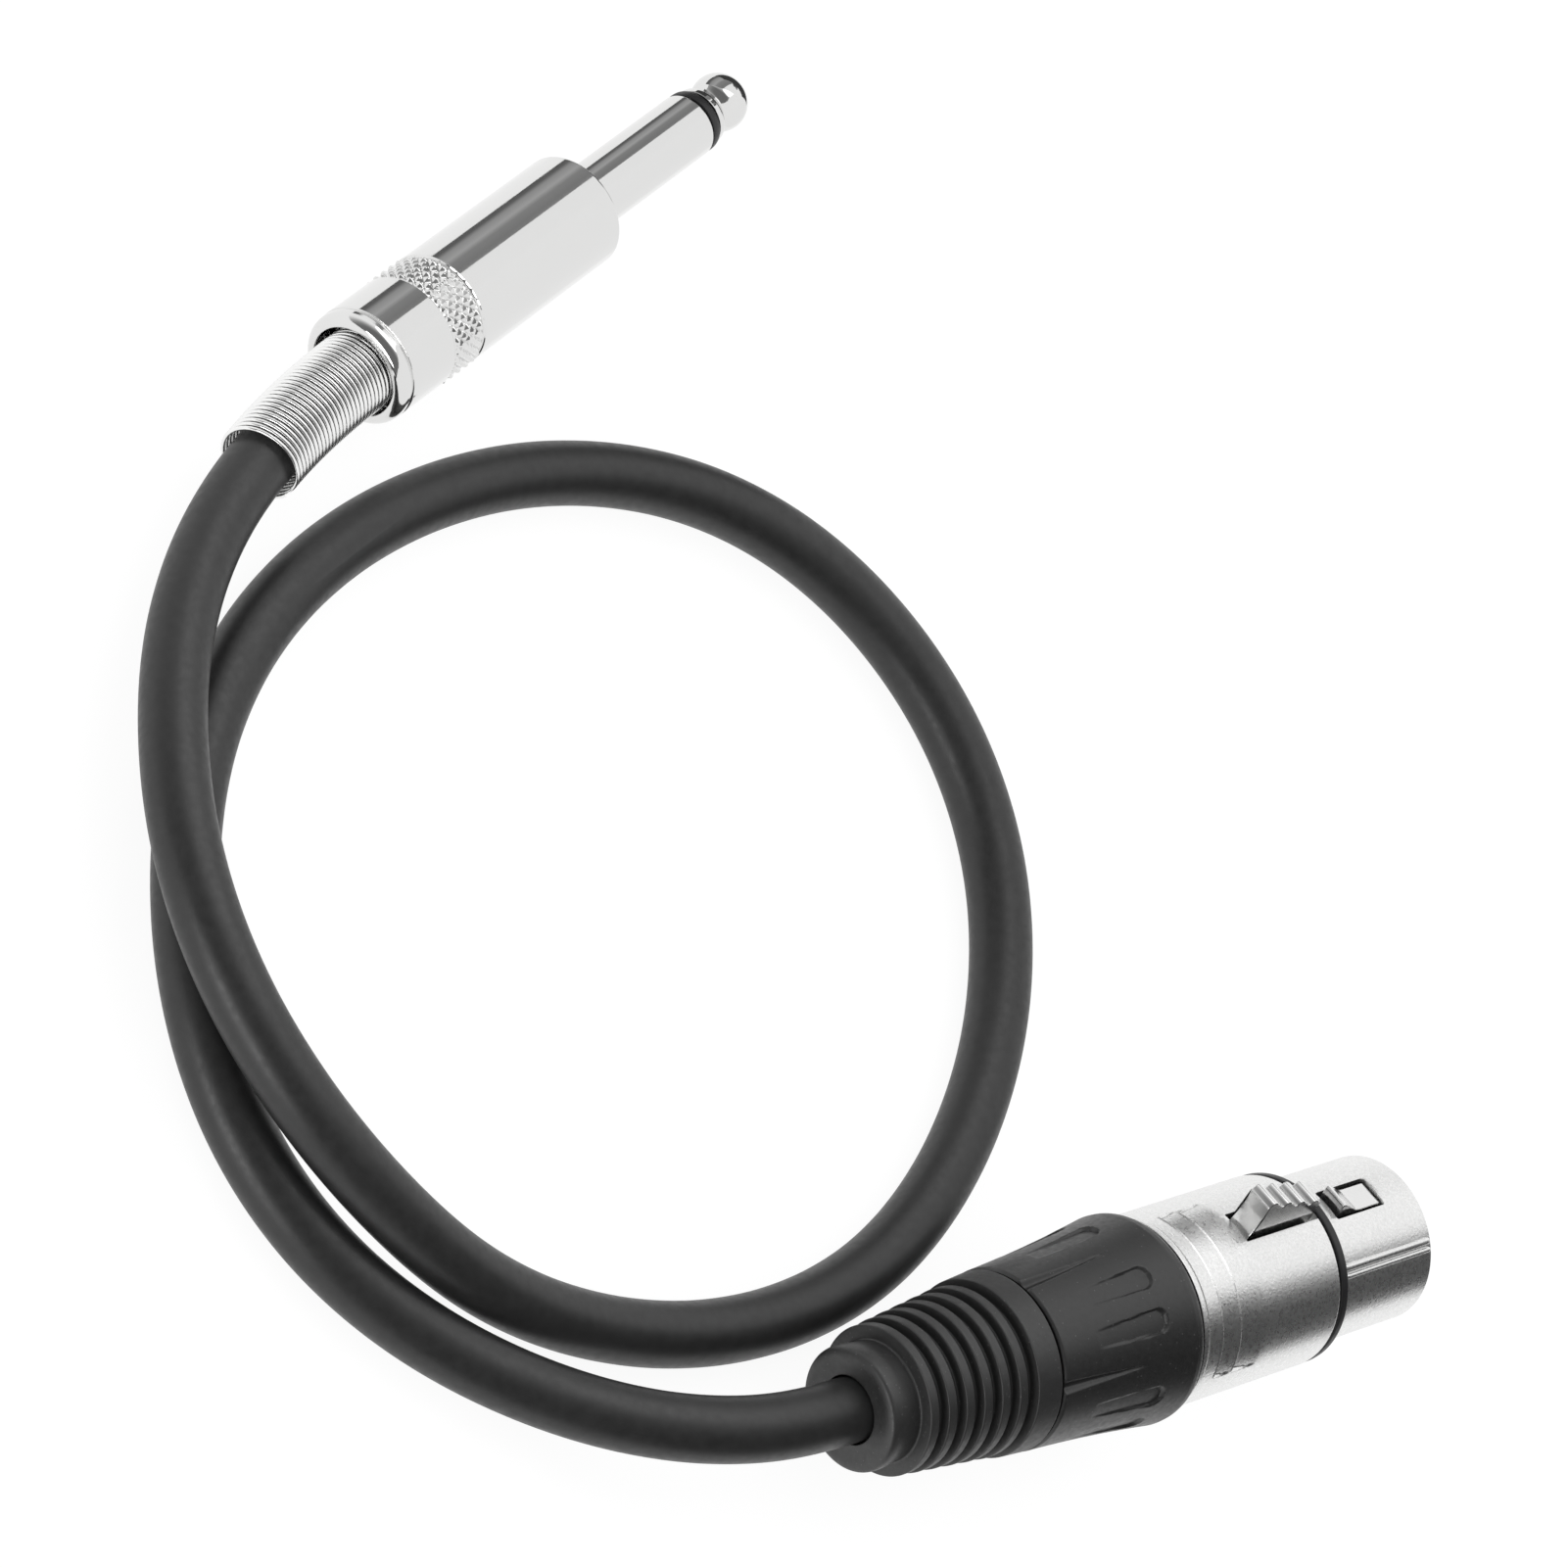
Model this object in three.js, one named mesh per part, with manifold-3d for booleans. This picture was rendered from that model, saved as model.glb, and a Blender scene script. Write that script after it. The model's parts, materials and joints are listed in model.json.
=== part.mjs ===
// A short audio cable lying in a loose loop: a 6.35 mm two-pole jack plug on one end and a
// three-pole XLR socket connector on the other. Millimetres, +Z up, the cable lies on z = 0.
import * as THREE from 'three';
import { mergeVertices } from 'three/addons/utils/BufferGeometryUtils.js';
import Module from 'manifold-3d';

const wasm = await Module();
wasm.setup();

// ---------------------------------------------------------------- driving dimensions

const CLEARANCE = 0.3;          // gap between pieces that touch, slide or turn on each other

const CABLE_DIAMETER = 6.0;
const CABLE_SIDES = 10;
const CABLE_STEPS = 72;
const WIRE_DIAMETER = 1.2;

// Large connector, measured from its front face backwards
const NOSE_DIAMETER = 16.0;
const NOSE_LENGTH = 13.0;
const NOSE_WALL = 0.9;
const RING_THICKNESS = 0.95;
const SHOULDER_HEIGHT = 1.25;   // the body stands this much out beyond the nose
const BODY_LENGTH = 18.9;       // from the ring's seat to the nut
const BODY_STEP = 0.1;          // each of the two faint steps near the rear of the body
const THREAD_STEP = 1.05;       // the thread lies this much inside the body
const THREAD_LENGTH = 10.5;
const NUT_WALL = 1.5;           // over the thread, where the nut is widest
const NUT_REAR_WALL = 0.75;     // over the boot's flange
const NUT_SAG = 0.17;           // how far the nut's outline dips below a straight taper
const NUT_LENGTH = 17.2;
const NUT_LIP = 2.0;
const NUT_PITCH = 1.0;          // thread pitch: travel of the nut in one turn
const GRIP_GROUPS = 5;
const BOOT_COLLAR_LENGTH = 2.6;
const BOOT_COLLAR_DIAMETER = 17.0;
const BOOT_NECK_DIAMETER = 13.6;
const BOOT_FLANGE_LENGTH = 2.6;
const RIB_COUNT = 6;
const RIB_PITCH = 2.05;
const RIB_WIDTH = 1.05;
const RIB_DEPTH = 0.75;
const RIB_FIRST_DIAMETER = 15.9;
const RIB_LAST_DIAMETER = 13.9;
const BOSS_DIAMETER = 11.8;
const BOSS_LENGTH = 3.7;
const LATCH_ANGLE = -30;        // degrees about the axis, from straight up
const KEY_ANGLE = 16.5;
const LATCH_WIDTH = 2.5;
const LATCH_PIVOT = 4.9;        // distance of the pivot from the front face
const LATCH_PIVOT_RADIUS = 6.1; // distance of the pivot from the axis
const LATCH_REAR = 24.0;
const PAD_HEIGHT = 3.95;        // the thumb pad's highest ridge over the body
const HOOK_REAR = 10.3;
const CONTACT_CIRCLE = 8.8;     // diameter on which the three contacts stand
const CONTACT_DIAMETER = 3.7;
const CONTACT_BORE = 2.4;
const INSERT_LENGTH = 23.6;

// Jack plug, measured from the front of its handle backwards
const SLEEVE_DIAMETER = 6.35;
const SLEEVE_LENGTH = 18.5;     // visible length ahead of the handle
const INSULATOR_WIDTH = 1.25;
const TIP_LENGTH = 6.7;
const BALL_DIAMETER = 5.7;
const ROD_DIAMETER = 2.2;
const HANDLE_DIAMETER = 11.2;
const HANDLE_LENGTH = 33.2;
const HANDLE_WALL = 0.6;
const HANDLE_PITCH = 1.0;       // thread pitch: travel of the handle in one turn
const HANDLE_TRAVEL = 3.0;
const KNURL_DIAMETER = 11.4;
const KNURL_FRONT = 20.8;
const KNURL_LENGTH = 4.5;
const SPRING_DIAMETER = 8.0;
const SPRING_END_DIAMETER = 7.8;
const SPRING_END = 48.2;
const SPRING_FLARE_DIAMETER = 9.3;
const SPRING_PITCH = 0.79;
const SPRING_PLAY = 0.4;        // round the spring where the handle slides over it
const SPRING_WIRE = 0.46;       // across, between the inside and the outside of a curl
const SPRING_WIRE_ALONG = 0.32;
const CLAMP_LENGTH = 3.8;

// Where the connectors lie
const PLUG_HEADING = 20;        // degrees anticlockwise from +Y
const PLUG_PLACE = new THREE.Vector3(-112.7, -50.7, KNURL_DIAMETER / 2);
const CABLE_START = 20;         // the jacket's end, behind the front of the handle

// The cable's route from inside the plug to inside the large connector, hand-placed control
// points of a uniform cubic B-spline. It goes once round, over its own tail, and round again.
const ROUTE = [
  [-105.8, -69.5, 5.7], [-101.8, -80.6, 5.7], [-97.3, -91.6, 5.7], [-90.9, -101.7, 5.5],
  [-82.4, -110.0, 6.3], [-72.2, -116.0, 7.8], [-60.9, -119.6, 9.2], [-48.9, -119.6, 10.0],
  [-37.2, -115.6, 9.7], [-27.5, -108.4, 7.5], [-20.0, -100.0, 4.7], [-14.3, -90.0, 3.2],
  [-10.5, -78.7, 3.0], [-9.4, -66.8, 3.0], [-11.2, -55.0, 3.0], [-16.3, -44.2, 3.0],
  [-23.8, -34.9, 3.0], [-33.2, -27.7, 3.0], [-44.4, -23.3, 3.0], [-56.4, -22.9, 3.0],
  [-67.8, -26.6, 3.0], [-77.6, -33.6, 3.0], [-84.7, -43.3, 3.0], [-88.7, -54.6, 3.0],
  [-90.2, -66.4, 3.0], [-89.3, -78.3, 3.0], [-86.2, -89.8, 3.0], [-80.7, -100.4, 3.0],
  [-72.6, -109.2, 3.0], [-62.3, -115.3, 3.0], [-50.8, -118.8, 3.0], [-38.9, -118.9, 3.0],
  [-27.7, -115.0, 3.0], [-18.2, -107.6, 3.0], [-10.2, -98.2, 3.9], [-3.7, -88.8, 7.3],
  [0, -77.7, 10], [0, -65.8, 10], [0, -50.0, 10], [0, -32.0, 10],
];

// ---------------------------------------------------------------- materials

const metal = (color, roughness) => new THREE.MeshStandardMaterial({ color, roughness, metalness: 1 });
const dull = (color, roughness) => new THREE.MeshStandardMaterial({ color, roughness, metalness: 0 });

const MATERIALS = {
  satinNickel: metal(0xc9c7c3, 0.38),
  brightNickel: metal(0xd9d8d6, 0.14),
  springSteel: metal(0xd2d2d0, 0.2),
  contactBrass: metal(0xd8b56a, 0.3),
  tinnedSteel: metal(0xb9b7b2, 0.45),
  jacket: dull(0x2c2c2e, 0.62),
  rubber: dull(0x2a2a2b, 0.75),
  nutPlastic: dull(0x28282a, 0.5),
  blackPlastic: dull(0x161617, 0.45),
  liner: dull(0xe4dfd0, 0.5),
  red: dull(0x9c1f1c, 0.5),
  white: dull(0xd8d5cc, 0.5),
  copper: metal(0xb4673e, 0.45),
};

// ---------------------------------------------------------------- solids

const radians = THREE.MathUtils.degToRad;
const SEGMENTS = 32;

// Turns a closed three.js geometry into a solid with shared vertices and faces pointing out.
function solid(geometry, matrix) {
  const bare = new THREE.BufferGeometry();
  bare.setAttribute('position', geometry.getAttribute('position').clone());
  if (geometry.index) bare.setIndex(geometry.index.clone());
  if (matrix) bare.applyMatrix4(matrix);
  const merged = mergeVertices(bare, 1e-4);
  const points = merged.getAttribute('position').array;
  const at = (i) => new THREE.Vector3(points[3 * i], points[3 * i + 1], points[3 * i + 2]);
  const faces = [];
  let volume = 0;
  for (let i = 0; i < merged.index.count; i += 3) {
    const [a, b, c] = [0, 1, 2].map((k) => merged.index.getX(i + k));
    if (a === b || b === c || a === c) continue;
    faces.push([a, b, c]);
    volume += at(a).dot(at(b).cross(at(c)));
  }
  const triVerts = new Uint32Array(faces.flatMap(([a, b, c]) => (volume < 0 ? [a, c, b] : [a, b, c])));
  return new wasm.Manifold(new wasm.Mesh({ numProp: 3, vertProperties: new Float32Array(points), triVerts }));
}

// A solid of revolution about +Y. Each point is [radius, distance behind the front].
function turned(profile, segments = SEGMENTS) {
  const points = profile.map(([radius, behind]) => new THREE.Vector2(radius, -behind));
  return solid(new THREE.LatheGeometry(points, segments));
}

// A ring-shaped solid of revolution: outer and inner outline, each from front to rear.
function turnedRing(outer, inner, segments = SEGMENTS) {
  return turned([...outer, ...inner.slice().reverse(), outer[0]], segments);
}

// A straight tube or, with no bore, a rod along +Y.
function tube(radius, bore, front, rear, segments = SEGMENTS) {
  if (bore === 0) return turned([[0, front], [radius, front], [radius, rear], [0, rear]], segments);
  return turnedRing([[radius, front], [radius, rear]], [[bore, front], [bore, rear]], segments);
}

// A side outline of [behind, up] points, given a width across X.
function sideways(outline, width) {
  const shape = new THREE.Shape(outline.map(([behind, up]) => new THREE.Vector2(-behind, up)));
  const geometry = new THREE.ExtrudeGeometry(shape, { depth: width, bevelEnabled: false });
  const upright = new THREE.Matrix4().makeBasis(
    new THREE.Vector3(0, 1, 0), new THREE.Vector3(0, 0, 1), new THREE.Vector3(1, 0, 0));
  return solid(geometry, upright.setPosition(-width / 2, 0, 0));
}

// A block between [front, rear] behind, [low, high] up and width across, centred on X = across.
function block([front, rear], [low, high], width, across = 0) {
  const geometry = new THREE.BoxGeometry(width, rear - front, high - low);
  return solid(geometry, new THREE.Matrix4().makeTranslation(across, -(front + rear) / 2, (low + high) / 2));
}

// A flat outline of [across, behind] points, carried up from low to high.
function upward(outline, [low, high]) {
  const shape = new THREE.Shape(outline.map(([across, behind]) => new THREE.Vector2(across, -behind)));
  const geometry = new THREE.ExtrudeGeometry(shape, { depth: high - low, bevelEnabled: false });
  return solid(geometry, new THREE.Matrix4().makeTranslation(0, 0, low));
}

// Turns a solid about the connector's axis; positive goes from straight up towards +X.
const roll = (piece, degrees) => piece.rotate([0, degrees, 0]);

// A bent round wire along points given as [x, behind, z].
function wire(points, diameter) {
  const path = new THREE.CatmullRomCurve3(points.map(([x, behind, z]) => new THREE.Vector3(x, -behind, z)));
  const section = new THREE.Shape(circlePoints(diameter / 2, 8));
  return solid(new THREE.ExtrudeGeometry(section, { extrudePath: path, steps: 3 * (points.length - 1) }));
}

function circlePoints(radius, sides) {
  return Array.from({ length: sides }, (_, k) => {
    const turn = (2 * Math.PI * k) / sides;
    return new THREE.Vector2(radius * Math.cos(turn), radius * Math.sin(turn));
  });
}

const object = new THREE.Group();
const connector = new THREE.Group();
const plug = new THREE.Group();
plug.position.copy(PLUG_PLACE);
plug.rotation.z = radians(PLUG_HEADING);
object.add(connector, plug);

function add(group, name, material, piece) {
  const { vertProperties, triVerts, numProp } = piece.getMesh();
  const geometry = new THREE.BufferGeometry();
  const positions = new Float32Array((vertProperties.length / numProp) * 3);
  for (let i = 0; i < positions.length; i += 1) {
    positions[i] = vertProperties[Math.floor(i / 3) * numProp + (i % 3)];
  }
  geometry.setAttribute('position', new THREE.BufferAttribute(positions, 3));
  geometry.setIndex(new THREE.BufferAttribute(new Uint32Array(triVerts), 1));
  geometry.computeVertexNormals();
  const mesh = new THREE.Mesh(geometry, material);
  mesh.name = name;
  group.add(mesh);
}

// ---------------------------------------------------------------- the cable's route

// Uniform cubic B-spline that starts on its first control point and ends on its last.
class CableRoute extends THREE.Curve {
  constructor(points) {
    super();
    const control = points.map((p) => new THREE.Vector3(...p));
    const before = control[0].clone().multiplyScalar(2).sub(control[1]);
    const after = control.at(-1).clone().multiplyScalar(2).sub(control.at(-2));
    this.control = [before, ...control, after];
    this.arcLengthDivisions = 1200;
  }

  getPoint(t, target = new THREE.Vector3()) {
    const spans = this.control.length - 3;
    const span = Math.min(Math.floor(t * spans), spans - 1);
    const u = t * spans - span;
    const weights = [(1 - u) ** 3, 3 * u ** 3 - 6 * u ** 2 + 4, -3 * u ** 3 + 3 * u ** 2 + 3 * u + 1, u ** 3];
    target.set(0, 0, 0);
    weights.forEach((weight, k) => target.addScaledVector(this.control[span + k], weight / 6));
    return target;
  }
}

const route = new CableRoute(ROUTE);
const routeLength = route.getLength();

// Least gap between two stretches of one tube, measured on points spaced along its centre line.
function leastGap(points, thickness, apart) {
  let least = Infinity;
  for (let i = 0; i < points.length; i += 1) {
    for (let j = i + apart; j < points.length; j += 1) {
      least = Math.min(least, points[i].distanceTo(points[j]));
    }
  }
  return least - thickness;
}

function makeJacket() {
  const section = new THREE.Shape(circlePoints(CABLE_DIAMETER / 2, CABLE_SIDES));
  const geometry = new THREE.ExtrudeGeometry(section, { extrudePath: route, steps: CABLE_STEPS });
  const spacing = 1.0;
  const points = route.getSpacedPoints(Math.round(routeLength / spacing));
  const gap = leastGap(points, CABLE_DIAMETER, Math.round((6 * CABLE_DIAMETER) / spacing));
  console.log(`cable: ${routeLength.toFixed(1)} mm, least gap to itself ${gap.toFixed(2)} mm`);
  return solid(geometry);
}

// ---------------------------------------------------------------- large connector

const noseRadius = NOSE_DIAMETER / 2;
const noseBore = noseRadius - NOSE_WALL;
const bodyRadius = noseRadius + SHOULDER_HEIGHT;
const bodyFront = NOSE_LENGTH + RING_THICKNESS + CLEARANCE - 0.05;
const bodyRear = bodyFront + BODY_LENGTH;
const threadRadius = bodyRadius - THREAD_STEP;
const threadRear = bodyRear + THREAD_LENGTH;
const rearBore = threadRadius - 0.6;
const nutFront = bodyRear + CLEARANCE;
const nutRear = nutFront + NUT_LENGTH;
const collarFront = nutRear + CLEARANCE;
const collarRear = collarFront + BOOT_COLLAR_LENGTH;
const ribsRear = collarRear + RIB_COUNT * RIB_PITCH;
const bootRear = ribsRear + BOSS_LENGTH;
const cableBore = CABLE_DIAMETER / 2 + CLEARANCE + 0.1;
const insertFront = 0.5;
const insertRadius = noseBore - CLEARANCE;
const insertRear = insertFront + INSERT_LENGTH;
const rearBoreFront = insertRear + 1.9;
const latchFront = LATCH_PIVOT - 0.4;
const windowFront = latchFront - CLEARANCE;
const windowRear = HOOK_REAR + 2 * CLEARANCE;
const slotRear = LATCH_REAR + 0.7;
const openingWidth = LATCH_WIDTH + 2 * CLEARANCE;
const hookTop = noseRadius + 1.1;
const armTop = noseBore - 0.4;
const armBottom = armTop - 0.8;
const padFront = bodyFront + 0.6;
const padUnderside = noseRadius;
const pocketFloor = insertRadius / 2;

function makeShell() {
  const chamfer = 0.3;
  const stepOne = bodyRear - 5.2;
  const stepTwo = bodyRear - 2.8;
  const outer = [
    [noseRadius - chamfer, 0], [noseRadius, chamfer], [noseRadius, bodyFront],
    [bodyRadius - chamfer, bodyFront], [bodyRadius, bodyFront + chamfer],
    [bodyRadius, stepOne], [bodyRadius + BODY_STEP, stepOne + 0.15],
    [bodyRadius + BODY_STEP, stepTwo], [bodyRadius + 2 * BODY_STEP, stepTwo + 0.15],
    [bodyRadius + 2 * BODY_STEP, bodyRear], [threadRadius, bodyRear], [threadRadius, threadRear],
  ];
  const inner = [
    [noseBore, 0], [noseBore, rearBoreFront], [rearBore, rearBoreFront + 0.6], [rearBore, threadRear],
  ];
  const latchWindow = block([windowFront, windowRear], [0, bodyRadius + 2], openingWidth);
  const latchSlot = block([bodyFront, slotRear], [0, bodyRadius + 2], openingWidth);
  // The slot goes through the body only; the nose under the ring stays closed.
  const bridge = tube(noseRadius, noseBore, windowRear, bodyFront + 0.01);
  let shell = turnedRing(outer, inner);
  shell = shell.subtract(roll(latchWindow, LATCH_ANGLE)).subtract(roll(latchSlot, LATCH_ANGLE)).add(bridge);
  const railWidth = 0.45;
  for (const side of [-0.6, 0.6]) {
    const rail = block([0.4, NOSE_LENGTH - CLEARANCE], [noseRadius - 0.4, noseRadius + 0.35], railWidth, side);
    shell = shell.add(roll(rail, KEY_ANGLE));
  }
  return shell;
}

function makeRing() {
  const seat = noseRadius + CLEARANCE;
  return tube(bodyRadius, seat, NOSE_LENGTH - 0.05, NOSE_LENGTH + RING_THICKNESS - 0.05);
}

const contactAngles = [60, -60, 180].map((angle) => angle + LATCH_ANGLE);
const contactRadius = CONTACT_CIRCLE / 2;
const contactPlace = (angle) => [
  contactRadius * Math.sin(radians(angle)), 0, contactRadius * Math.cos(radians(angle))];

function makeInsert() {
  const lip = 1.2;
  const pinHole = CONTACT_BORE / 2 + 0.15;
  const bore = CONTACT_DIAMETER / 2 + CLEARANCE;
  let insert = tube(insertRadius, 0, insertFront, insertRear);
  for (const angle of contactAngles) {
    const holes = tube(pinHole, 0, 0, insertFront + lip + 0.5, 16)
      .add(tube(bore, 0, insertFront + lip, insertRear + 1, 16));
    insert = insert.subtract(holes.translate(contactPlace(angle)));
  }
  const pocketFront = LATCH_PIVOT + 1.6;
  const pocket = block([pocketFront, insertRear + 1], [pocketFloor, noseRadius], openingWidth)
    .add(block([windowFront - 0.1, pocketFront + 0.1], [LATCH_PIVOT_RADIUS - 0.9, noseRadius], openingWidth))
    .add(block([LATCH_PIVOT - 0.7, LATCH_PIVOT + 0.7], [LATCH_PIVOT_RADIUS - 0.7, noseRadius], 4.5));
  return insert.subtract(roll(pocket, LATCH_ANGLE));
}

function makeContact(angle) {
  const front = insertFront + 1.2 + CLEARANCE;
  const socketRear = front + 15;
  const cupRear = insertRear + 2.6;
  const cupRadius = CONTACT_DIAMETER / 2 - 0.4;
  const cupWall = 0.35;
  const radius = CONTACT_DIAMETER / 2;
  const bore = CONTACT_BORE / 2;
  const contact = turned([
    [bore, front], [radius, front], [radius, socketRear], [cupRadius, socketRear], [cupRadius, cupRear],
    [cupRadius - cupWall, cupRear], [cupRadius - cupWall, cupRear - 4], [0, cupRear - 4],
    [0, socketRear - 2], [bore, socketRear - 2], [bore, front],
  ], 16);
  // The cup's outer half is open, where the wire is soldered in.
  const open = block([cupRear - 2.6, cupRear + 1], [0.2, 4], 6);
  return roll(contact.subtract(open), angle).translate(contactPlace(angle));
}

function makeLatch() {
  const ridges = 4;
  const ridgePitch = 2.2;
  const ridgeHeight = 0.4;
  const crest = bodyRadius + PAD_HEIGHT;
  const fall = 0.26;            // drop of the thumb pad per millimetre towards the front
  const lastRidge = LATCH_REAR - 1.3;
  const outline = [
    [latchFront, LATCH_PIVOT_RADIUS - 0.4], [latchFront, noseRadius - 0.3],
    [HOOK_REAR - 2.6, noseRadius - 0.3], [HOOK_REAR - 0.4, hookTop], [HOOK_REAR, hookTop], [HOOK_REAR, armTop],
    [padFront, armTop], [padFront, crest - fall * (lastRidge - padFront) - ridgeHeight],
  ];
  for (let k = ridges - 1; k >= 0; k -= 1) {
    const behind = lastRidge - k * ridgePitch;
    const top = crest - fall * k * ridgePitch;
    outline.push([behind - 1.1, top - ridgeHeight], [behind - 0.35, top], [behind, top]);
    outline.push([behind + 0.35, top - ridgeHeight]);
  }
  outline.push(
    [LATCH_REAR - 0.5, crest - ridgeHeight], [LATCH_REAR, padUnderside], [padFront + 1.4, padUnderside - 1.0],
    [padFront + 0.9, armBottom], [HOOK_REAR - 0.7, armBottom], [HOOK_REAR - 1.9, LATCH_PIVOT_RADIUS],
    [LATCH_PIVOT + 1.1, LATCH_PIVOT_RADIUS - 0.4],
  );
  const trunnionRadius = 0.4;
  const trunnion = solid(new THREE.CylinderGeometry(trunnionRadius, trunnionRadius, 3.9, 12),
    new THREE.Matrix4().makeRotationZ(Math.PI / 2).setPosition(0, -LATCH_PIVOT, LATCH_PIVOT_RADIUS));
  return roll(sideways(outline, LATCH_WIDTH).add(trunnion), LATCH_ANGLE);
}

function makeLatchSpring() {
  const thickness = 0.25;
  const foot = pocketFloor + CLEARANCE;
  const top = padUnderside - 0.65;
  const front = LATCH_PIVOT + 4.1;
  const bend = front + 4.0;
  const rise = LATCH_REAR - 4.0;
  const rear = rise + 1.2;
  const outline = [
    [front, foot], [bend, foot], [rise, top - thickness], [rear, top - thickness - 0.2],
    [rear, top - 0.2], [rise, top], [bend - 0.1, foot + thickness], [front, foot + thickness],
  ];
  return roll(sideways(outline, 1.8), LATCH_ANGLE);
}

const colletFront = insertRear + 2.6 + 1.5;
const colletRear = threadRear + 0.6;

function makeCollet() {
  const radius = rearBore - CLEARANCE;
  const outer = [[radius, colletFront], [radius, colletRear - 4], [radius - 0.8, colletRear]];
  const inner = [[radius - 1.4, colletFront], [cableBore, colletFront + 4.5], [cableBore, colletRear]];
  let collet = turnedRing(outer, inner);
  const slits = 3;
  for (let k = 0; k < slits; k += 1) {
    const slit = block([colletRear - 8, colletRear + 1], [1, radius + 1], 0.8);
    collet = collet.subtract(roll(slit, (360 / slits) * k + 90));
  }
  return collet;
}

const nutBore = threadRadius + CLEARANCE;
const nutRadius = nutBore + NUT_WALL;
const flangeBore = threadRadius - 0.4;
const nutRearRadius = flangeBore + NUT_REAR_WALL;
const nutShoulder = nutFront + 2.2;
const neckRadius = BOOT_NECK_DIAMETER / 2;
const flangeRear = nutRear - NUT_LIP - CLEARANCE;
connector.position.set(0, 0, nutRadius);

// The nut's outline behind its widest place: a taper with a shallow dip.
function nutRadiusAt(behind) {
  const share = (behind - nutShoulder) / (nutRear - nutShoulder);
  return THREE.MathUtils.lerp(nutRadius, nutRearRadius, share) - 4 * NUT_SAG * share * (1 - share);
}

// A cut through the nut's outside with this plan, as deep at its front and its rear as given.
function gripCut(plan, front, rear, frontDepth, rearDepth) {
  const [low, high] = [nutRadiusAt(front) - frontDepth, nutRadiusAt(rear) - rearDepth];
  const tilt = (Math.atan2(high - low, rear - front) * 180) / Math.PI;
  return upward(plan, [0, nutRadius]).translate([0, front, 0]).rotate([-tilt, 0, 0]).translate([0, -front, low]);
}

function makeNut() {
  const outer = [
    [nutRadius - 0.4, nutFront], [nutRadius - 0.15, nutFront + 0.5], [nutRadius, nutFront + 1.2],
    [nutRadius, nutShoulder],
  ];
  for (const share of [0.2, 0.4, 0.6, 0.8, 0.97]) {
    const behind = THREE.MathUtils.lerp(nutShoulder, nutRear, share);
    outer.push([nutRadiusAt(behind), behind]);
  }
  outer.push([nutRearRadius - 0.2, nutRear]);
  const inner = [
    [nutBore, nutFront], [nutBore, threadRear],
    [flangeBore, threadRear + 0.5], [flangeBore, nutRear - NUT_LIP],
    [neckRadius + CLEARANCE, nutRear - NUT_LIP], [neckRadius + CLEARANCE, nutRear],
  ];
  let nut = turnedRing(outer, inner, 40);
  const pocketFront = nutFront + 4.6;
  const pocketRear = nutRear - 4.6;
  const half = 1.5;
  const pocketPlan = [];
  for (let k = 0; k <= 4; k += 1) {
    const turn = (Math.PI * k) / 4;
    pocketPlan.push([half * Math.cos(turn), pocketFront + half - half * Math.sin(turn)]);
  }
  pocketPlan.push([-half, pocketRear], [half, pocketRear]);
  const pocket = gripCut(pocketPlan, pocketFront, pocketRear, 0.45, 0.05);
  const slotFront = nutFront + 8.1;
  const slotHalf = 0.8;
  const slotPlan = [[0, slotFront], [-slotHalf, nutRear + 1], [slotHalf, nutRear + 1]];
  const slot = gripCut(slotPlan, slotFront, nutRear, 0.05, 0.5);
  for (let k = 0; k < GRIP_GROUPS; k += 1) {
    const centre = (360 / GRIP_GROUPS) * k - 5;
    nut = nut.subtract(roll(pocket, centre - 13)).subtract(roll(pocket, centre + 13));
    nut = nut.subtract(roll(slot, centre + 36));
  }
  return nut;
}

function makeBoot() {
  const collar = BOOT_COLLAR_DIAMETER / 2;
  const outer = [
    [flangeBore - CLEARANCE, flangeRear - BOOT_FLANGE_LENGTH],
    [flangeBore - CLEARANCE, flangeRear], [neckRadius, flangeRear], [neckRadius, collarFront],
    [collar, collarFront], [collar - 0.2, collarRear],
  ];
  for (let k = 0; k < RIB_COUNT; k += 1) {
    const radius = THREE.MathUtils.mapLinear(k, 0, RIB_COUNT - 1, RIB_FIRST_DIAMETER, RIB_LAST_DIAMETER) / 2;
    const rear = collarRear + (k + 1) * RIB_PITCH;
    outer.push([radius - RIB_DEPTH, rear - RIB_PITCH + 0.15], [radius - RIB_DEPTH, rear - RIB_WIDTH - 0.1]);
    outer.push([radius, rear - RIB_WIDTH], [radius, rear]);
  }
  const boss = BOSS_DIAMETER / 2;
  outer.push([boss - 0.3, ribsRear + 0.1], [boss, ribsRear + 1.6], [boss - 0.05, bootRear - 0.5]);
  outer.push([boss - 0.5, bootRear]);
  return turnedRing(outer, [[cableBore, flangeRear - BOOT_FLANGE_LENGTH], [cableBore, bootRear]], 28);
}

const jacketEnd = -ROUTE.at(-1)[1];

function makeConnectorWire(angle, towards) {
  const [x, , z] = contactPlace(angle);
  const cupEnd = insertRear + 2.6;
  const exit = 1.5;
  const out = [exit * Math.sin(radians(towards)), exit * Math.cos(radians(towards))];
  return wire([
    [x, cupEnd - 2.4, z], [x, cupEnd, z], [(x + out[0]) / 2, (cupEnd + jacketEnd) / 2, (z + out[1]) / 2],
    [out[0], jacketEnd - 1.2, out[1]], [out[0], jacketEnd - CLEARANCE, out[1]],
  ], WIRE_DIAMETER);
}

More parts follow.
